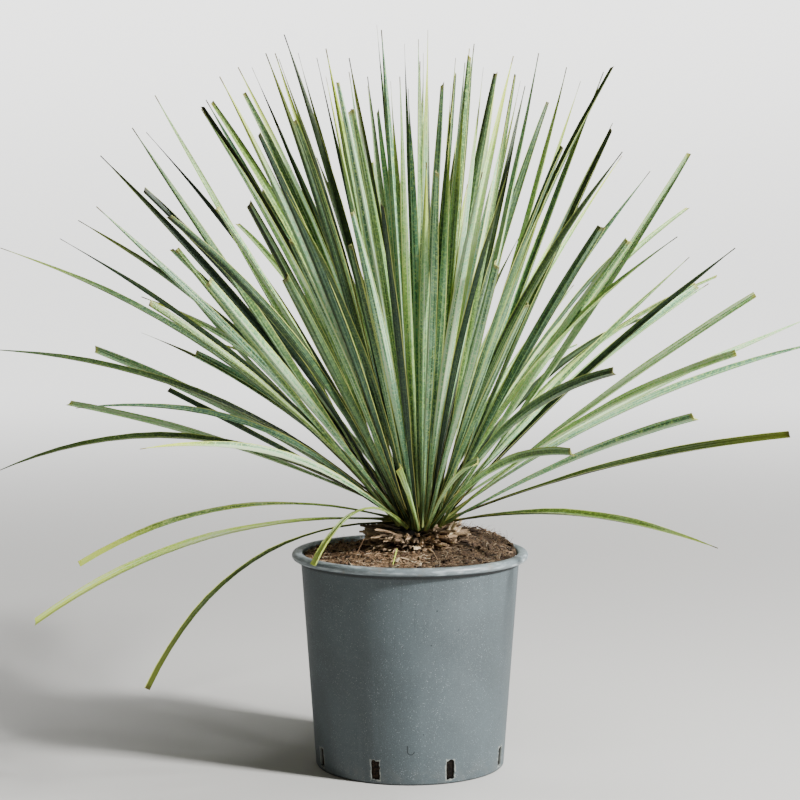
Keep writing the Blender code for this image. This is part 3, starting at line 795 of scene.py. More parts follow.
def pot_material(settings):
    """Blue-grey moulded plastic: fine pale specks, rubbed lip with a painted highlight, faint streaks and
    scuffs, and painted shadow under the lip and along the sole.
    """
    material, tree, shader = start_material("pot_plastic")
    place = object_place(tree)
    axes = axes_of(tree, place)
    level = axes[2]
    colour = Vector(settings.colour)
    cloud = grain(tree, place, 11.0, 5.0, 0.6)
    run = streaks(tree, place, (70.0, 70.0, 3.5), 4.0)
    dark_run = streaks(tree, place, (160.0, 160.0, 6.0), 4.0)
    high = span(tree, level, 0.06, 0.22)
    fine = span(tree, grain(tree, place, 1500.0, 2.0), 0.50, 0.66)
    pale = specks(tree, place, 1.0 / settings.speck_size, 0.34, 0.36)
    crowd = span(tree, grain(tree, place, 30.0, 3.0), 0.35, 0.65, 0.35, 1.0)
    black = specks(tree, place, 230.0, 0.070, 0.17)

    # Rolled lip with its painted highlight, the painted shadow under it, and the foot with its painted
    # contact shadow at the sole
    below_lip = POT_HEIGHT - POT_LIP_DEPTH
    lip = span(tree, level, below_lip, below_lip + 0.002)
    # Painted shadow in a band just below the lip
    under_lip_shadow = minus(tree, span(tree, level, below_lip - 0.0052, below_lip - 0.0028), lip)
    worn = span(tree, streaks(tree, place, (55.0, 55.0, 420.0), 5.0), 0.46, 0.70)
    soiled = span(tree, grain(tree, place, 38.0, 6.0, 0.7), 0.57, 0.72)
    foot = inverse(tree, span(tree, level, 0.0, 0.030))
    dusty = times(tree, foot, span(tree, grain(tree, place, 60.0, 6.0, 0.7), 0.42, 0.65))
    # Painted contact shadow in a thin band at the bottom of the pot
    sole_shadow = inverse(tree, span(tree, level, 0.0006, 0.0024))

    tone = mix(tree, span(tree, cloud, 0.35, 0.68), colour * 0.86, colour * 1.16)
    tone = lay(tree, tone, (
        (span(tree, run, 0.50, 0.72), 0.34, colour * 1.45),
        (span(tree, dark_run, 0.56, 0.74), times(tree, high, 0.45), colour * 0.55),
        (fine, 0.34, colour * 2.4),
        (pale, crowd, SPECK_PALE),
        (black, 0.75, SPECK_BLACK),
        # Painted shadow under the lip
        (under_lip_shadow, 0.85, colour * 0.18),
        # Lip painted lighter all round as a painted highlight, with rubbed wear along the streaks on top
        (lip, plus(tree, 0.22, times(tree, worn, 0.55)), LIP_WORN_AND_HIGHLIT),
        (times(tree, lip, soiled), 0.55, LIP_SOILED),
        (slot_rim_mask(tree, axes), 0.60, SLOT_FLASH),
        (scuff_mask(tree, axes), 0.85, colour * 0.15),
        (dusty, 0.14, FOOT_DUST),
        # Painted contact shadow along the sole
        (sole_shadow, 0.85, colour * 0.12),
    ))
    rough = span(tree, cloud, 0.3, 0.7, 0.50, 0.62, smooth=False)
    rough = minus(tree, rough, times(tree, lip, 0.16))
    rough = plus(tree, rough, times(tree, soiled, 0.12))
    relief = plus(tree, grain(tree, place, 900.0, 2.0), times(tree, pale, 0.3))
    normal = bump(tree, relief, 0.16, 0.0004)
    fill(tree, shader, {"Base Color": tone, "Roughness": rough, "Normal": normal})
    return material


class YUCCA_OT_pot(bpy.types.Operator):
    """Make the nursery pot with its rolled lip and drain slots"""

    bl_idname = "yucca.pot"
    bl_label = "Pot"

    def execute(self, context):
        settings = context.scene.yucca_pot
        bm = spin_profile(pot_outline(), settings.sides)
        pot = place_piece("pot_shell", bm, pot_material(settings), ("pot",), 32.0)
        cut_slots(pot)
        return {"FINISHED"}


# Soil


def soil_height(x, y):
    """Height of the soil: banked up round the stump and heaped up at the back right."""
    from_stump = Vector((x - PLANT_X, y)).length
    from_heap = Vector((x - HEAP_PLACE.x, y - HEAP_PLACE.y)).length
    heap = HEAP_HEIGHT * math.exp(-((from_heap / HEAP_SPREAD) ** 2))
    mound = MOUND_HEIGHT * math.exp(-(((from_stump - MOUND_RADIUS) / MOUND_SPREAD) ** 2))
    lean = SOIL_LEAN[0] * x + SOIL_LEAN[1] * y
    lumps = 0.0009 * math.sin(131 * x + 2.0) * math.cos(117 * y)
    lumps += 0.0005 * math.sin(311 * x + 170 * y)
    return SOIL_LEVEL + heap + mound + lean + lumps


def rough_soil_height(x, y):
    """Height of the soil with its crumbly surface."""
    place = Vector((x, y, 0.0))
    rough = 0.0016 * noise.fractal(place * 95.0, 0.7, 2.1, 4)
    rough += 0.0010 * noise.noise(place * 420.0)
    back_left = min(max((y - x) / 0.13, 0.0), 1.0)
    rough += BACK_LEFT_BANK * back_left * back_left
    return soil_height(x, y) + rough


def soil_material(settings):
    """Damp peat: dark brown crumbs with tan coir showing through."""
    material, tree, shader = start_material("peat")
    place = object_place(tree)
    colour = Vector(settings.colour)
    fine = grain(tree, place, 420.0, 6.0, 0.75)
    broad = grain(tree, place, 42.0, 4.0, 0.6)
    tone = mix(tree, span(tree, fine, 0.42, 0.62), colour * 0.12, colour * 1.35)
    tone = tint(tree, tone, span(tree, broad, 0.45, 0.70), 0.5, colour * 1.8)
    coir = specks(tree, stretch(tree, place, (1.0, 0.45, 1.0)), 330.0, 0.20, 0.40)
    tone = tint(tree, tone, coir, 0.50, COIR_TAN)
    axes = axes_of(tree, place)
    # Painted light: the soil is painted lighter on the left and darker on the right to offset the key light
    # from the right, and it is darker below 0.22 m, inside the pot
    painted_side_light = span(tree, axes[0], -0.04, 0.06, 1.35, 0.50)
    painted_side_light = times(tree, painted_side_light, span(tree, axes[2], 0.17, 0.22, 0.22, 1.0))
    tone = scaled(tree, tone, painted_side_light)
    normal = bump(tree, fine, 0.9, 0.0012)
    fill(tree, shader, {"Base Color": tone, "Roughness": 0.94, GLOSS: 0.25, "Normal": normal})
    return material


def litter_material():
    """Loose bits on the soil: each has its own tone from dark crumb to pale straw."""
    material, tree, shader = start_material("loose_bits")
    place = object_place(tree)
    tone = attribute(tree, "tone")
    stops = (
        (0.00, (0.016, 0.010, 0.007)),
        (0.30, (0.075, 0.042, 0.024)),
        (0.55, (0.20, 0.120, 0.065)),
        (0.80, (0.38, 0.25, 0.145)),
        (0.95, (0.66, 0.58, 0.42)),
        (0.97, (0.66, 0.60, 0.36)),
        (1.00, (0.40, 0.52, 0.05)),
    )
    mottle = span(tree, grain(tree, place, 650.0, 4.0, 0.7), 0.3, 0.7, 0.55, 1.25)
    axes = axes_of(tree, place)
    # Painted light: the bits are painted lighter on the left and darker on the right to offset the key
    # light from the right
    painted_side_light = span(tree, axes[0], -0.04, 0.06, 1.30, 0.56)
    tone = scaled(tree, ramp(tree, tone, stops), times(tree, mottle, painted_side_light))
    normal = bump(tree, grain(tree, place, 900.0, 3.0), 0.4, 0.0006)
    fill(tree, shader, {"Base Color": tone, "Roughness": 0.88, GLOSS: 0.3, "Normal": normal})
    return material


def soil_spot(rng, lean_in=0.5):
    """A random place on the soil between the stump and the pot's wall."""
    turn = rng.uniform(0.0, math.tau)
    inner = STUMP_RADIUS + LITTER_FROM_STUMP
    outer = pot_inner_radius(SOIL_LEVEL) - LITTER_FROM_WALL
    reach = math.sqrt(inner**2 + (outer**2 - inner**2) * rng.random() ** lean_in)
    x = PLANT_X * (1 - reach / outer) + reach * math.cos(turn)
    y = reach * math.sin(turn)
    return x, y


def add_crumbs(bm, layer, count, rng):
    """Loose crumbs: small uneven lumps half sunk in the soil."""
    ball = bmesh.new()
    bmesh.ops.create_icosphere(ball, subdivisions=1, radius=1.0)
    template = as_mesh(ball, "crumb_template")
    for _ in range(count):
        x, y = soil_spot(rng, 0.8)
        size = 0.0006 + 0.0024 * rng.random() ** 2.6
        squash = Vector((rng.uniform(0.6, 1.2), rng.uniform(0.6, 1.2), rng.uniform(0.4, 0.9))) * size
        angle = rng.uniform(0, math.tau)
        turn = Matrix.Rotation(angle, 3, (rng.random(), rng.random(), rng.random() + 0.01))
        place = Vector((x, y, rough_soil_height(x, y) + size * 0.25))
        shift = random_shift(rng, 50)

        def move(point):
            bulge = 1.0 + 0.45 * noise.noise(point * 1.7 + shift)
            return place + turn @ Vector(point * squash) * bulge

        add_copy(bm, template, move, {layer: rng.random() ** 1.6 * 0.62})
    bpy.data.meshes.remove(template)


def add_fibres(bm, layer, count, rng):
    """Curled coir fibres that lie on the soil or stick out of it."""
    template = as_mesh(round_rod(3, 6, 0.25), "fibre_template")
    for _ in range(count):
        x, y = soil_spot(rng, 0.7)
        start = Vector((x, y, rough_soil_height(x, y)))
        turn = rng.uniform(0, math.tau)
        length = rng.uniform(0.004, 0.015)
        flat = Vector((math.cos(turn), math.sin(turn), 0.0))
        side = Vector((-flat.y, flat.x, 0.0)) * rng.uniform(-0.7, 0.7)
        lift = rng.uniform(0.0, 0.25) if rng.random() < 0.86 else rng.uniform(0.4, 1.1)
        knee = start + (flat * 0.5 + side * 0.6 + Vector((0, 0, lift))) * length
        end = start + (flat * 0.9 - side * 0.4 + Vector((0, 0, lift * 0.7))) * length
        thick = rng.uniform(0.00010, 0.00028)
        reach = end.xy.length / (pot_inner_radius(SOIL_LEVEL) - 0.002)
        if reach > 1.0:
            end.xy /= reach
            knee.xy /= reach

        def move(point):
            share = point.z
            middle = start.lerp(knee, share).lerp(knee.lerp(end, share), share)
            middle.z = max(middle.z, rough_soil_height(middle.x, middle.y) + thick * 0.5)
            return middle + side.normalized() * (point.x * thick) + Vector((0, 0, point.y * thick))

        add_copy(bm, template, move, {layer: 0.30 + 0.62 * rng.random()})
    bpy.data.meshes.remove(template)


def add_seen_bits(bm, layer, rng):
    """The litter told apart at the front: pale splinters, a green chip, a dry stalk."""
    rod = as_mesh(round_rod(4, 5, 0.55), "stalk_template")
    rows = list(SEEN_BITS)
    for _ in range(CLUSTER_COUNT):
        x, y = rng.gauss(CLUSTER_PLACE[0], 0.009), rng.gauss(CLUSTER_PLACE[1], 0.007)
        turn = rng.uniform(0, math.tau)
        long = rng.uniform(0.003, 0.009)
        thick, tone = rng.uniform(0.0004, 0.0011), rng.uniform(0.62, 0.93)
        rows.append((x, y, x + math.cos(turn) * long, y + math.sin(turn) * long, 0.0, thick, tone))
    for x1, y1, x2, y2, lift, thick, tone in rows:
        start = Vector((x1, y1, rough_soil_height(x1, y1) + lift))
        end = Vector((x2, y2, rough_soil_height(x2, y2) + thick))
        aside = Vector((y1 - y2, x2 - x1, 0.0)).normalized()

        def move(point):
            share = point.z
            middle = start.lerp(end, share)
            middle.z += thick + 0.06 * lift * math.sin(math.pi * share)
            flat = 1.0 if lift > 0.0 else 2.2
            return middle + aside * (point.x * thick * flat) + Vector((0, 0, point.y * thick * 0.7))

        add_copy(bm, rod, move, {layer: tone})
    bpy.data.meshes.remove(rod)


def add_chips(bm, layer, count, rng):
    """Flat bark chips and splinters."""
    block = bmesh.new()
    bmesh.ops.create_cube(block, size=1.0)
    bmesh.ops.subdivide_edges(block, edges=block.edges[:], cuts=1, use_grid_fill=True)
    template = as_mesh(block, "chip_template")
    for _ in range(count):
        x, y = soil_spot(rng, 0.9)
        long = rng.uniform(0.003, 0.012)
        size = Vector((long, long * rng.uniform(0.18, 0.55), rng.uniform(0.0005, 0.0018)))
        turn = Matrix.Rotation(rng.uniform(0, math.tau), 3, "Z")
        turn = turn @ Matrix.Rotation(rng.uniform(-0.6, 0.6), 3, "X")
        turn = turn @ Matrix.Rotation(rng.uniform(-0.4, 0.4), 3, "Y")
        place = Vector((x, y, rough_soil_height(x, y) + rng.uniform(0.0004, 0.0018)))
        shift = random_shift(rng, 50)

        def move(point):
            wobble = Vector((noise.noise(point * 1.3 + shift), noise.noise(point * 1.9 - shift), 0.0))
            return place + turn @ Vector((point + wobble * 0.35) * size)

        add_copy(bm, template, move, {layer: 0.20 + 0.62 * rng.random() ** 1.6})
    bpy.data.meshes.remove(template)


class YUCCA_OT_soil(bpy.types.Operator):
    """Make the bed of peat and the loose bits that lie on it"""

    bl_idname = "yucca.soil"
    bl_label = "Soil"

    def execute(self, context):
        settings = context.scene.yucca_soil
        wall = pot_inner_radius(SOIL_LEVEL) - SOIL_GAP
        foot = POT_FLOOR + SOIL_GAP
        top = [(0.0, SOIL_LEVEL)]
        for ring in range(1, SOIL_RINGS + 1):
            top.append((SOIL_HUB + (wall - 0.001 - SOIL_HUB) * ring / SOIL_RINGS, SOIL_LEVEL))
        outline = top + [
            (wall - 0.0004, SOIL_LEVEL - 0.006),
            (pot_inner_radius(foot) - SOIL_GAP, foot),
            (0.0, foot),
        ]
        bm = spin_profile(outline, SOIL_SIDES)
        for vert in bm.verts:
            if vert.co.z > SOIL_LEVEL - 0.001:
                vert.co.z = rough_soil_height(vert.co.x, vert.co.y)
        place_piece("soil_bed", bm, soil_material(settings), ("soil",), 180.0)
        rng = random.Random(LITTER_SEED)
        litter = bmesh.new()
        layer = litter.verts.layers.float.new("tone")
        add_crumbs(litter, layer, settings.crumbs, rng)
        add_fibres(litter, layer, settings.fibres, rng)
        add_chips(litter, layer, settings.chips, rng)
        add_seen_bits(litter, layer, rng)
        place_piece("soil_litter", litter, litter_material(), (), 50.0)
        return {"FINISHED"}


# Stump


def stump_material(settings):
    """Old leaf bases: dark, fibrous, with tan torn ends, and painted shade deep in the collar by the stump.
    """
    material, tree, shader = start_material("old_leaf_base")
    place = object_place(tree)
    tone = attribute(tree, "tone")
    reach = attribute(tree, "reach")
    colour = Vector(settings.colour)
    stops = (
        (0.00, colour * 0.10),
        (0.30, colour * 0.45),
        (0.55, colour * 1.35),
        (0.78, (0.44, 0.31, 0.19)),
        (1.00, (0.80, 0.70, 0.46)),
    )
    uv = add_node(tree, "ShaderNodeUVMap", uv_map="flake").outputs[0]
    thread = streaks(tree, uv, (26.0, 1.6, 1.0), 5.0)
    threads = span(tree, thread, 0.34, 0.66, 0.50, 1.40)
    torn = times(tree, span(tree, reach, 0.76, 0.97), span(tree, tone, 0.30, 0.62, 0.10, 0.62))
    shade = mix(tree, torn, scaled(tree, ramp(tree, tone, stops), threads), BARK_TORN)
    # Painted shade deep in the collar: the flakes and the core darken towards the stump
    deep_shade = inverse(tree, span(tree, reach, 0.0, 0.35))
    shade = tint(tree, shade, deep_shade, 0.6, colour * 0.16)
    blot = span(tree, grain(tree, place, 120.0, 5.0, 0.7), 0.55, 0.72)
    shade = tint(tree, shade, blot, 0.5, colour * 0.20)
    normal = bump(tree, thread, 0.7, 0.0012)
    fill(tree, shader, {"Base Color": shade, "Roughness": 0.80, GLOSS: 0.35, "Normal": normal})
    return material


def flake_template():
    """Thin unit flake: narrow sheet along Y with four steps and a wall."""
    bm = bmesh.new()
    bmesh.ops.create_grid(bm, x_segments=4, y_segments=5, size=0.5)
    bmesh.ops.translate(bm, vec=(0.0, 0.5, 0.0), verts=bm.verts)
    uv = bm.loops.layers.uv.new("flake")
    for face in bm.faces:
        for loop in face.loops:
            loop[uv].uv = (loop.vert.co.x + 0.5, loop.vert.co.y)
    bmesh.ops.solidify(bm, geom=bm.faces[:], thickness=FLAKE_WALL)
    return as_mesh(bm, "flake_template")


def flake_row(rng, front_turn, climb, reach_full):
    """One torn leaf base at a turn from the front and a share of the collar's height."""
    front = max(math.cos(front_turn), 0.0)
    level = COLLAR_FOOT + (COLLAR_TOP - COLLAR_FOOT - FRONT_DIP * front) * climb
    inner = STUMP_RADIUS - 0.014 - 0.016 * climb**2
    outer = STUMP_RADIUS + reach_full * (0.55 + 0.75 * math.sin(math.pi * (0.15 + 0.65 * climb)))
    pale = rng.random() < 0.42
    return {
        "turn": math.pi - front_turn,
        "level": level,
        "inner": inner,
        "length": (outer - inner) * rng.uniform(0.66, 1.0),
        "width": rng.uniform(0.004, 0.017),
        "thick": rng.uniform(0.0009, 0.0026),
        "lift": rng.uniform(-0.20, 0.12) + 0.16 * climb**2,
        "roll": rng.uniform(-0.35, 0.35),
        "droop": rng.uniform(-0.0030, 0.0014),
        "tone": rng.uniform(0.46, 0.84) if pale else rng.uniform(0.12, 0.44),
    }


def seen_plate_rows(rng, reach_full):
    """The flat plates that can be told apart at the front."""
    rows = []
    for front_turn, level, width, tone in SEEN_PLATES:
        row = flake_row(rng, math.radians(front_turn), 0.5, reach_full)
        row.update(level=level, width=width, tone=tone, roll=rng.uniform(-0.1, 0.1))
        row.update(lift=rng.uniform(-0.12, 0.06))
        row.update(length=STUMP_RADIUS + reach_full * 1.12 - row["inner"])
        rows.append(row)
    return rows


def husk_rows(rng, count):
    """Pale dry husks that stand up at the right of the collar."""
    rows = []
    for _ in range(count):
        row = flake_row(rng, math.radians(rng.uniform(-108, -52)), 0.8, 0.010)
        row.update(level=rng.uniform(0.249, 0.260), inner=STUMP_RADIUS - 0.004)
        row.update(length=rng.uniform(0.009, 0.018), width=rng.uniform(0.0022, 0.0055))
        row.update(lift=rng.uniform(0.35, 1.25), roll=rng.uniform(-0.6, 0.6))
        row.update(thick=0.0008, droop=rng.uniform(0.0, 0.003), tone=rng.uniform(0.86, 1.0))
        rows.append(row)
    return rows


def chip_rows(rng, count):
    """Short brown chips, broken leaf bases that crowd the front below the leaves."""
    rows = []
    for _ in range(count):
        row = flake_row(rng, math.radians(rng.uniform(-88, 88)), 0.6, 0.004)
        row.update(level=rng.uniform(0.239, 0.2595), length=rng.uniform(0.007, 0.014))
        row.update(inner=STUMP_RADIUS + rng.uniform(-0.010, -0.001) - 0.35 * max(row["level"] - 0.250, 0.0))
        row.update(width=rng.uniform(0.0028, 0.0065), thick=rng.uniform(0.0012, 0.0030))
        row.update(lift=rng.uniform(-0.5, 0.8), roll=rng.uniform(-0.9, 0.9), tone=rng.uniform(0.16, 0.58))
        rows.append(row)
    return rows


def add_flake(bm, template, layers, rng, row):
    """One torn leaf base that stands off the stump."""
    width, length, thick = row["width"], row["length"], row["thick"]
    cup = width * rng.uniform(-0.03, 0.08)
    spin = Matrix.Rotation(row["turn"], 3, "Z")
    start = Vector((PLANT_X, 0.0, row["level"])) + spin @ Vector((0.0, row["inner"], 0.0))
    spin = spin @ Matrix.Rotation(row["lift"], 3, "X") @ Matrix.Rotation(row["roll"], 3, "Y")
    sway = rng.uniform(-0.35, 0.35)
    torn = random_shift(rng, 90)

    def move(point):
        share = point.y
        ragged = 1.0 + 0.48 * noise.noise(Vector((point.x * 7.0, 0, 0)) + torn) * share
        narrow = 1.0 - 0.35 * share**2 + 0.25 * noise.noise(Vector((0, share * 4.0, 3.0)) + torn)
        x = point.x * width * narrow + sway * share * length
        bend = row["droop"] * share**2 + cup * (1 - (2 * point.x) ** 2)
        wrinkle = 0.0011 * noise.noise(Vector((point.x * 6, share * 5, 0)) + torn)
        place = Vector((x, share * length * ragged, bend + wrinkle + point.z * thick / FLAKE_WALL))
        return start + spin @ place

    tone_layer, reach_layer = layers
    add_copy(bm, template, move, {tone_layer: row["tone"], reach_layer: lambda point: point.y})


def add_stump_core(bm, layers):
    """Dark rounded middle that the flakes stand on: with the darkest tone and no reach it takes the full
    painted shade deep in the collar.
    """
    height = COLLAR_TOP - 0.004 - STEM_FOOT
    made = bmesh.ops.create_cone(
        bm, cap_ends=True, segments=40, radius1=STUMP_RADIUS - 0.002, radius2=STUMP_RADIUS * 0.45,
        depth=height, matrix=Matrix.Translation((PLANT_X, 0.0, STEM_FOOT + height / 2)),
    )["verts"]
    for vert in made:
        vert[layers[0]] = 0.05
        vert[layers[1]] = 0.0


class YUCCA_OT_stump(bpy.types.Operator):
    """Make the stump with its ragged collar of old leaf bases"""

    bl_idname = "yucca.stump"
    bl_label = "Stump"

    def execute(self, context):
        settings = context.scene.yucca_stump
        rng = random.Random(COLLAR_SEED)
        bm = bmesh.new()
        layers = [bm.verts.layers.float.new(name) for name in ("tone", "reach")]
        bm.loops.layers.uv.new("flake")
        template = flake_template()
        rows = seen_plate_rows(rng, settings.reach)
        rows += husk_rows(rng, HUSK_COUNT) + chip_rows(rng, CHIP_COUNT)
        for index in range(settings.flakes):
            front_turn = index * GOLDEN_TURN + rng.uniform(-0.2, 0.2)
            rows.append(flake_row(rng, front_turn, (index * EVEN_SHARE) % 1.0, settings.reach))
        for row in rows:
            add_flake(bm, template, layers, rng, row)
        bpy.data.meshes.remove(template)
        add_stump_core(bm, layers)
        place_piece("stump_collar", bm, stump_material(settings), ("stump",), 40.0)
        return {"FINISHED"}


# Leaves


def seen_point(right, up, towards):
    """Point that is seen so far right of the crown and above it, moved towards the front."""
    flat = SEEN_FROM + Vector((right, 0.0, up)) * 0.01
    share = towards * 0.01 / -EYE.y
    return flat.lerp(EYE, share)


def leaf_root(tip, index):
    """Where a leaf leaves the crown: on the side of its tip, the steep back ones higher up."""
    way = (tip - CROWN).normalized()
    flat = Vector((way.x, way.y, 0.0))
    inward = min(1.0, flat.length * (FRONT_SPREAD if way.y < 0 else BACK_SPREAD))
    reach = (CROWN_RADIUS - LEAF_ROOT_SUNK) * inward
    climb = 0.004 + ROOT_CLIMB * ((index * GOLDEN_SHARE) % 1.0) * max(way.z, 0.0)
    if way.y > 0:
        climb += BACK_CLIMB * max(way.z, 0.0)
    root = CROWN + flat.normalized() * reach
    root.z = LOWEST_ROOT + climb - FRONT_DROP * max(-way.y, 0.0)
    root.z += SIDE_RISE * abs(way.x) * (1.0 - max(way.z, 0.0))
    return root


def leaf_width(share, full_width):
    """Width at a share of the whole blade: clasping foot, neck, full middle, long taper."""
    rise = min(max((share - NECK_START) / (NECK_END - NECK_START), 0.0), 1.0)
    full = NECK_WIDTH + (1.0 - NECK_WIDTH) * rise * rise * (3.0 - 2.0 * rise)
    full += 0.22 * math.exp(-share * 34.0)
    taper = 1.0 - max((share - TAPER_START) / (1.0 - TAPER_START), 0.0) ** TAPER_POWER
    return full_width * full * taper


def leaf_frame(root, tip, bow, roll, share):
    """Point, across and upward directions of a blade at a share of its length."""
    chord = tip - root
    rise = Vector((0, 0, 1)) - chord * (chord.z / chord.length_squared)
    rise.normalize()
    knee = (root + tip) / 2 + rise * (bow * 2)
    point = root.lerp(knee, share).lerp(knee.lerp(tip, share), share)
    along = (knee.lerp(tip, share) - root.lerp(knee, share)).normalized()
    across = rise.cross(along).normalized()
    turn = Matrix.Rotation(roll * (0.25 + 1.1 * share), 3, along)
    across = turn @ across
    return point, across, along.cross(across)


def seen_leaves():
    """Root, tip and shape of each leaf that can be told apart."""
    rows = []
    for index, (right, up, towards, bow, roll, end) in enumerate(SEEN_LEAVES):
        tip = seen_point(right, up, towards)
        level = right * right / (right * right + up * up)
        turn = math.radians(roll * (1.0 - 0.42 * level))
        rows.append((leaf_root(tip, index), tip, bow * 0.01, turn, end))
    return rows


def fill_leaves():
    """The other leaves: evenly round the crown, behind the front ones and between them."""
    rng = random.Random(FILL_SEED)
    rows = []
    for index in range(FILL_COUNT):
        turn = index * GOLDEN_TURN + rng.uniform(-0.06, 0.06)
        climb = math.asin(0.04 + 0.95 * (index + 0.5) / FILL_COUNT)
        length = LEAF_LENGTH * rng.uniform(*FILL_LENGTHS)
        roll = rng.choice((-1, 1)) * math.radians(rng.uniform(*FILL_ROLLS))
        bow = 0.01 + 0.03 * math.cos(climb) * rng.random()
        flat = math.cos(climb)
        way = Vector((math.cos(turn) * flat, math.sin(turn) * flat, math.sin(climb)))
        behind = way.y > 0.42 and way.z > 0.45 * abs(way.x)
        before = way.y < -0.38 and way.z > 0.64
        steep = abs(way.y) > 0.15 and way.z > 0.88
        if behind or before or steep:
            tip = CROWN + way * length
            end = POINT if rng.random() < FILL_POINTED_SHARE else CUT
            rows.append((leaf_root(tip, index), tip, bow, roll, end))
    return rows


def blade_template(steps):
    """Unit blade along Z: eight-sided section with X across, one for every leaf."""
    bm = round_rod(8, steps)
    uv = bm.loops.layers.uv.new("blade")
    for vert in bm.verts:
        vert.co.x = round(vert.co.x, 3)
        vert.co.y = round(vert.co.y, 3)
        if 0.1 < abs(vert.co.x) < 0.9:
            vert.co.x = math.copysign(0.52, vert.co.x)
    for face in bm.faces:
        for loop in face.loops:
            loop[uv].uv = (loop.vert.co.x * 0.5 + 0.5, loop.vert.co.z)
    return as_mesh(bm, "blade_template")


def add_blade(bm, template, layers, row, full_width, rng):
    """One keeled, channelled blade from the crown to its tip."""
    root, tip, bow, roll, end = row
    length = (tip - root).length
    whole = length if end == POINT else max(LEAF_LENGTH, length * 1.12)
    skew = rng.uniform(-0.9, 0.9) if end == CUT else 0.0
    wave = rng.uniform(0.0, math.tau)
    low = max(0.0, 1.0 - (tip - CROWN).z / (0.45 * length))
    marks = (min(1.0, rng.random() * 0.72 + 0.50 * low), rng.random(), 1.0 if end == CUT else 0.0)

    def move(place):
        side, face_side = place.x, place.y
        share = min(max(place.z, 0.0), 1.0)
        if end == POINT:
            share = 1.0 - (1.0 - share) ** POINT_CROWDING
        cut_share = share * (1.0 - CUT_SLANT * (1.0 + skew * side)) if end == CUT else share
        point, across, upward = leaf_frame(root, tip, bow, roll, cut_share)
        width = leaf_width(cut_share * length / max(whole, length), full_width)
        half = max(width / 2, TIP_HALF_WIDTH)
        slim = min(1.0, half / full_width * 3.0)
        fold = math.radians(BLADE_FOLD + FOOT_FOLD * math.exp(-share * 5.0))
        channel = half * math.sin(fold) * slim
        half *= math.cos(fold)
        thick = LEAF_THICK * slim
        if face_side > 0.1 or abs(side) > 0.9:
            lift = channel * abs(side) ** 1.15
        elif abs(side) > 0.1:
            lift = channel * 0.30 - thick * 0.62
        else:
            lift = -thick
        if abs(side) > 0.9:
            lift += EDGE_WAVE * math.sin(wave + share * 23.0)
        return point + across * (side * half) + upward * lift

    add_copy(bm, template, move, dict(zip(layers, marks)))


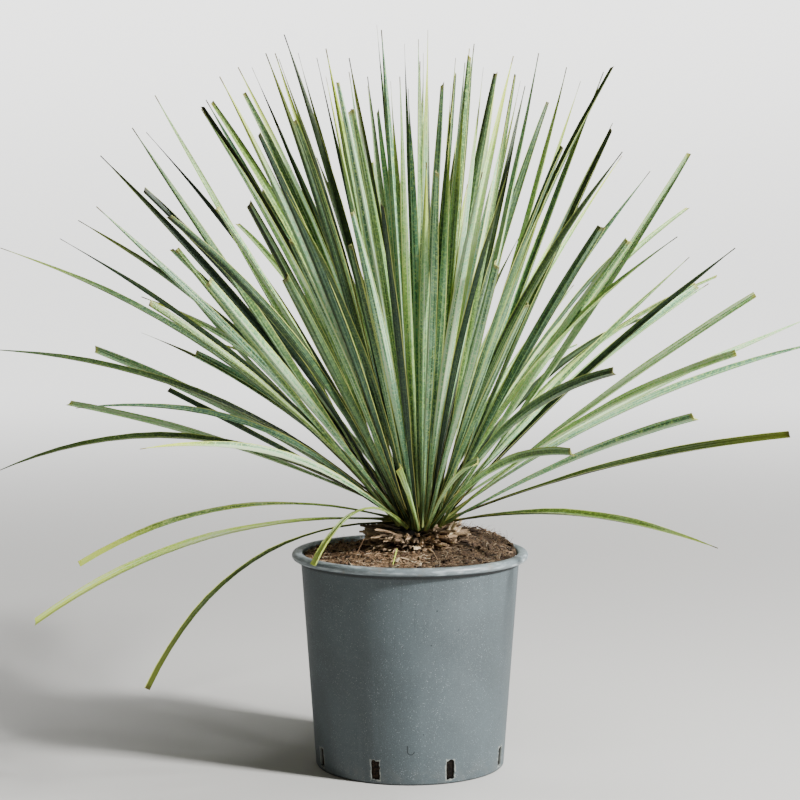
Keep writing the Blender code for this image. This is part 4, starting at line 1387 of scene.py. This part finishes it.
def leaf_material(settings):
    """Waxy blue-green blade with fine veins, yellow margins and dry ends."""
    material, tree, shader = start_material("leaf_green")
    place = object_place(tree)
    axes = axes_of(tree, add_node(tree, "ShaderNodeUVMap", uv_map="blade").outputs[0])
    across = maths(tree, "ABSOLUTE", minus(tree, times(tree, axes[0], 2.0), 1.0))
    along = axes[1]
    tone, seed, cut = [attribute(tree, name) for name in BLADE_MARKS]

    # Fine pattern, for each blade from its own depth of the noise
    depth = times(tree, seed, 37.0)
    own = add_node(tree, "ShaderNodeCombineXYZ", {0: axes[0], 1: along, 2: depth}).outputs[0]
    veins = streaks(tree, own, (9.0, 1.6, 1.0), 4.0)
    # Middle line of each face: a pale rib, partly a painted highlight along the keel
    pale_rib_and_highlight = inverse(tree, span(tree, across, 0.03, 0.20))
    bloom = span(tree, grain(tree, place, 26.0, 5.0, 0.65), 0.42, 0.68)
    mottle = grain(tree, place, 380.0, 4.0, 0.7)
    dusty = specks(tree, place, 620.0, 0.42, 0.42)
    spots = specks(tree, stretch(tree, own, (4.0, 90.0, 1.0)), 1.6, 0.07, 0.30)

    # Foot and ends
    foot = inverse(tree, span(tree, along, 0.03, 0.20))
    pale_foot = minus(tree, span(tree, along, 0.0005, 0.0040), span(tree, along, 0.0, 0.040), clamp=True)
    sound = inverse(tree, cut)
    ripe = times(tree, span(tree, along, 0.62, 0.95), times(tree, sound, span(tree, seed, 0.36, 0.70)))
    aged = times(tree, span(tree, along, 0.66, 1.0), span(tree, tone, 0.66, 0.95))
    needle = times(tree, span(tree, along, 0.950, 0.972), sound)
    dry = times(tree, span(tree, along, 0.984, 0.997), cut)

    colour = Vector(settings.colour)
    blue = Vector((colour.x * 0.84, colour.y * 0.96, colour.z * 1.06))
    olive = Vector((colour.x * 1.12, colour.y * 1.06, colour.z * 0.44))
    base = mix(tree, span(tree, tone, 0.15, 0.95, smooth=False), blue, olive)
    base = lay(tree, base, (
        (span(tree, veins, 0.52, 0.65), 0.72, LEAF_VEIN),
        (span(tree, veins, 0.50, 0.37), 0.80, colour * 0.26),
        # Pale rib, partly a painted highlight along the keel
        (pale_rib_and_highlight, 0.25, colour * 1.7),
        (bloom, 0.20, LEAF_BLOOM),
        (span(tree, mottle, 0.50, 0.62), 0.42, LEAF_MOTTLE),
        (span(tree, mottle, 0.48, 0.36), 0.40, colour * 0.55),
        (dusty, 0.36, LEAF_DUST),
        (spots, 0.55, LEAF_SPOT),
        (foot, 0.45, LEAF_FOOT),
        (pale_foot, 0.45, LEAF_PALE_FOOT),
        (ripe, 0.75, LEAF_RIPE),
        (aged, 0.65, LEAF_AGED),
        (needle, 0.85, LEAF_NEEDLE),
        (dry, 0.60, LEAF_DRY),
    ))

    # Blades differ in lightness at random, partly their own tone and partly painted shade for blades that
    # turn their shaded side out; all get painted shade between their feet and are darker towards the tips
    pick = maths(tree, "FRACT", times(tree, seed, 7.31))
    blade_tone_and_shade = span(tree, pick, 0.0, 1.0, 0.24, 1.40, smooth=False)
    # Painted shade between the leaf feet, deep in the rosette
    deep_shade = inverse(tree, span(tree, along, 0.02, 0.36))
    shade = times(tree, blade_tone_and_shade, inverse(tree, times(tree, deep_shade, 0.52)))
    base = scaled(tree, base, shade)
    base = scaled(tree, base, span(tree, along, 0.40, 0.92, 1.0, 0.76))

    # More contrast, but no blade lighter than the palest one
    base = add_node(tree, "ShaderNodeGamma", {0: base, 1: LEAF_CONTRAST}).outputs[0]
    base = stretch(tree, base, LEAF_STRENGTH)
    base = mix(tree, 1.0, base, LEAF_BRIGHTEST, "DARKEN")
    margin = span(tree, across, 0.86, 0.96)
    base = lay(tree, base, (
        (margin, 0.85, settings.margin),
        (times(tree, margin, deep_shade), 0.6, LEAF_BROWN_EDGE),
    ))
    rough = span(tree, bloom, 0.0, 1.0, 0.34, 0.48, smooth=False)
    normal = bump(tree, veins, 0.45, 0.0007)
    fill(tree, shader, {"Base Color": base, "Roughness": rough, GLOSS: 0.17, "Normal": normal})
    return material


def add_core(bm, layers):
    """Inner crown that closes the gaps between the leaf feet."""
    made = bmesh.ops.create_uvsphere(
        bm, u_segments=24, v_segments=12, radius=1.0,
        matrix=Matrix.Translation((CROWN.x, CROWN.y, CORE_LEVEL)) @ Matrix.Diagonal((*CORE_SIZE, 1.0)),
    )["verts"]
    uv = bm.loops.layers.uv["blade"]
    for vert in made:
        for layer, value in zip(layers, (0.5, 0.5, 0.0)):
            vert[layer] = value
        for loop in vert.link_loops:
            loop[uv].uv = (0.5, 0.08)


class YUCCA_OT_leaves(bpy.types.Operator):
    """Make the rosette of stiff leaves"""

    bl_idname = "yucca.leaves"
    bl_label = "Leaves"

    def execute(self, context):
        settings = context.scene.yucca_leaves
        rng = random.Random(BLADE_SEED)
        bm = bmesh.new()
        layers = [bm.verts.layers.float.new(name) for name in BLADE_MARKS]
        bm.loops.layers.uv.new("blade")
        template = blade_template(settings.steps)
        for row in seen_leaves() + fill_leaves():
            add_blade(bm, template, layers, row, settings.width, rng)
        bpy.data.meshes.remove(template)
        add_core(bm, layers)
        place_piece("leaf_blades", bm, leaf_material(settings), ("leaf_rosette",), 42.0)
        return {"FINISHED"}


# Stage


def floor_material():
    """Plain pale floor and backdrop that stay pale far from the lights."""
    material, tree, shader = start_material("pale_floor")
    place = object_place(tree)
    axes = axes_of(tree, place)
    flat = stretch(tree, place, (1.0, 1.0, 0.0))
    away = add_node(tree, "ShaderNodeVectorMath", {0: flat}, operation="LENGTH").outputs["Value"]
    glow = span(tree, away, 0.7, 5.2, 0.0, FLOOR_GLOW)
    glow = times(tree, glow, span(tree, axes[2], 0.2, 1.6, 0.85, 1.25))
    seen = add_node(tree, "ShaderNodeLightPath").outputs["Is Camera Ray"]
    glow = times(tree, glow, span(tree, seen, 0.0, 1.0, 0.10, 1.0))
    fill(tree, shader, {"Base Color": rgba(FLOOR_COLOUR), "Roughness": 0.85})
    fill(tree, shader, {"Emission Color": rgba(WALL_COLOUR), "Emission Strength": glow})
    return material


def make_floor():
    """Floor that curves up into a backdrop far behind the plant."""
    bm = bmesh.new()
    outline = [(-FLOOR_REACH, 0.0), (WALL_AWAY, 0.0)]
    for step in range(1, 17):
        turn = math.pi / 2 * step / 16
        outline.append((WALL_AWAY + WALL_BEND * math.sin(turn), WALL_BEND - WALL_BEND * math.cos(turn)))
    outline.append((WALL_AWAY + WALL_BEND, WALL_HEIGHT))
    points = [bm.verts.new((-FLOOR_REACH, y, z)) for y, z in outline]
    edges = [bm.edges.new(pair) for pair in zip(points, points[1:])]
    grown = bmesh.ops.extrude_edge_only(bm, edges=edges)["geom"]
    far_side = [item for item in grown if isinstance(item, bmesh.types.BMVert)]
    bmesh.ops.translate(bm, vec=(2 * FLOOR_REACH, 0, 0), verts=far_side)
    bmesh.ops.recalc_face_normals(bm, faces=bm.faces)
    mesh = as_mesh(bm, "floor")
    mesh.materials.append(floor_material())
    mesh.shade_smooth()
    floor = new_object("floor", mesh)


def make_world():
    """Dim warm light from all round that the camera sees as a pale wall."""
    world = bpy.data.worlds.new("pale_room")
    world.use_nodes = True
    tree = world.node_tree
    dim = tree.nodes["Background"]
    fill(tree, dim, {0: rgba(ROOM_COLOUR), 1: ROOM_STRENGTH})
    pale = add_node(tree, "ShaderNodeBackground", {0: rgba(WALL_COLOUR), 1: WALL_STRENGTH})
    seen = add_node(tree, "ShaderNodeLightPath").outputs["Is Camera Ray"]
    both = add_node(tree, "ShaderNodeMixShader", {0: seen, 1: dim.outputs[0], 2: pale.outputs[0]})
    tree.links.new(both.outputs[0], tree.nodes["World Output"].inputs[0])
    return world


def add_light(name, place, size, power, colour):
    """Soft area light that faces the middle of the plant."""
    data = bpy.data.lights.new(name, "AREA")
    data.shape = "SQUARE"
    data.size = size
    data.energy = power
    data.color = colour
    light = new_object(name, data)
    light.location = place
    light.rotation_euler = (LIT_POINT - Vector(place)).to_track_quat("-Z", "Y").to_euler()


class YUCCA_OT_stage(bpy.types.Operator):
    """Make the floor, the soft light and the camera"""

    bl_idname = "yucca.stage"
    bl_label = "Stage"

    def execute(self, context):
        settings = context.scene.yucca_stage
        make_floor()
        for name, place, size, share, colour in LIGHTS:
            add_light(name, place, size, settings.key_power * share, colour)
        context.scene.world = make_world()
        data = bpy.data.cameras.new("camera")
        data.sensor_fit = "HORIZONTAL"
        data.sensor_width = 36.0
        data.lens = settings.lens
        data.clip_end = 50.0
        camera = new_object("camera", data)
        camera.location = EYE + CAMERA_SHIFT
        camera.rotation_euler = (math.pi / 2 - settings.pitch, 0.0, 0.0)
        context.scene.camera = camera
        return {"FINISHED"}


class YUCCA_PT_pieces(bpy.types.Panel):
    """Lists the pieces and what can be changed on them"""

    bl_idname = "YUCCA_PT_pieces"
    bl_label = "Potted yucca"
    bl_space_type = "VIEW_3D"
    bl_region_type = "UI"
    bl_category = "Yucca"

    def draw(self, context):
        layout = self.layout
        for operator, owner in PIECES:
            box = layout.box()
            box.operator(operator.bl_idname)
            settings = getattr(context.scene, owner)
            for name in settings.bl_rna.properties.keys():
                if name not in ("rna_type", "name"):
                    box.prop(settings, name)


PIECES = (
    (YUCCA_OT_stage, "yucca_stage"),
    (YUCCA_OT_pot, "yucca_pot"),
    (YUCCA_OT_soil, "yucca_soil"),
    (YUCCA_OT_stump, "yucca_stump"),
    (YUCCA_OT_leaves, "yucca_leaves"),
)
SETTINGS = {
    "yucca_stage": YuccaStageSettings,
    "yucca_pot": YuccaPotSettings,
    "yucca_soil": YuccaSoilSettings,
    "yucca_stump": YuccaStumpSettings,
    "yucca_leaves": YuccaLeafSettings,
}


def register():
    """Register the settings, the operators and the panel."""
    for name, kind in SETTINGS.items():
        bpy.utils.register_class(kind)
        setattr(bpy.types.Scene, name, PointerProperty(type=kind))
    for operator, _ in PIECES:
        bpy.utils.register_class(operator)
    bpy.utils.register_class(YUCCA_PT_pieces)


def unregister():
    """Take away all that register added."""
    bpy.utils.unregister_class(YUCCA_PT_pieces)
    for operator, _ in reversed(PIECES):
        bpy.utils.unregister_class(operator)
    for name, kind in reversed(SETTINGS.items()):
        delattr(bpy.types.Scene, name)
        bpy.utils.unregister_class(kind)


def main():
    """Make every piece."""
    register()
    bpy.ops.yucca.stage()
    bpy.ops.yucca.pot()
    bpy.ops.yucca.soil()
    bpy.ops.yucca.stump()
    bpy.ops.yucca.leaves()


if __name__ == "__main__":
    main()
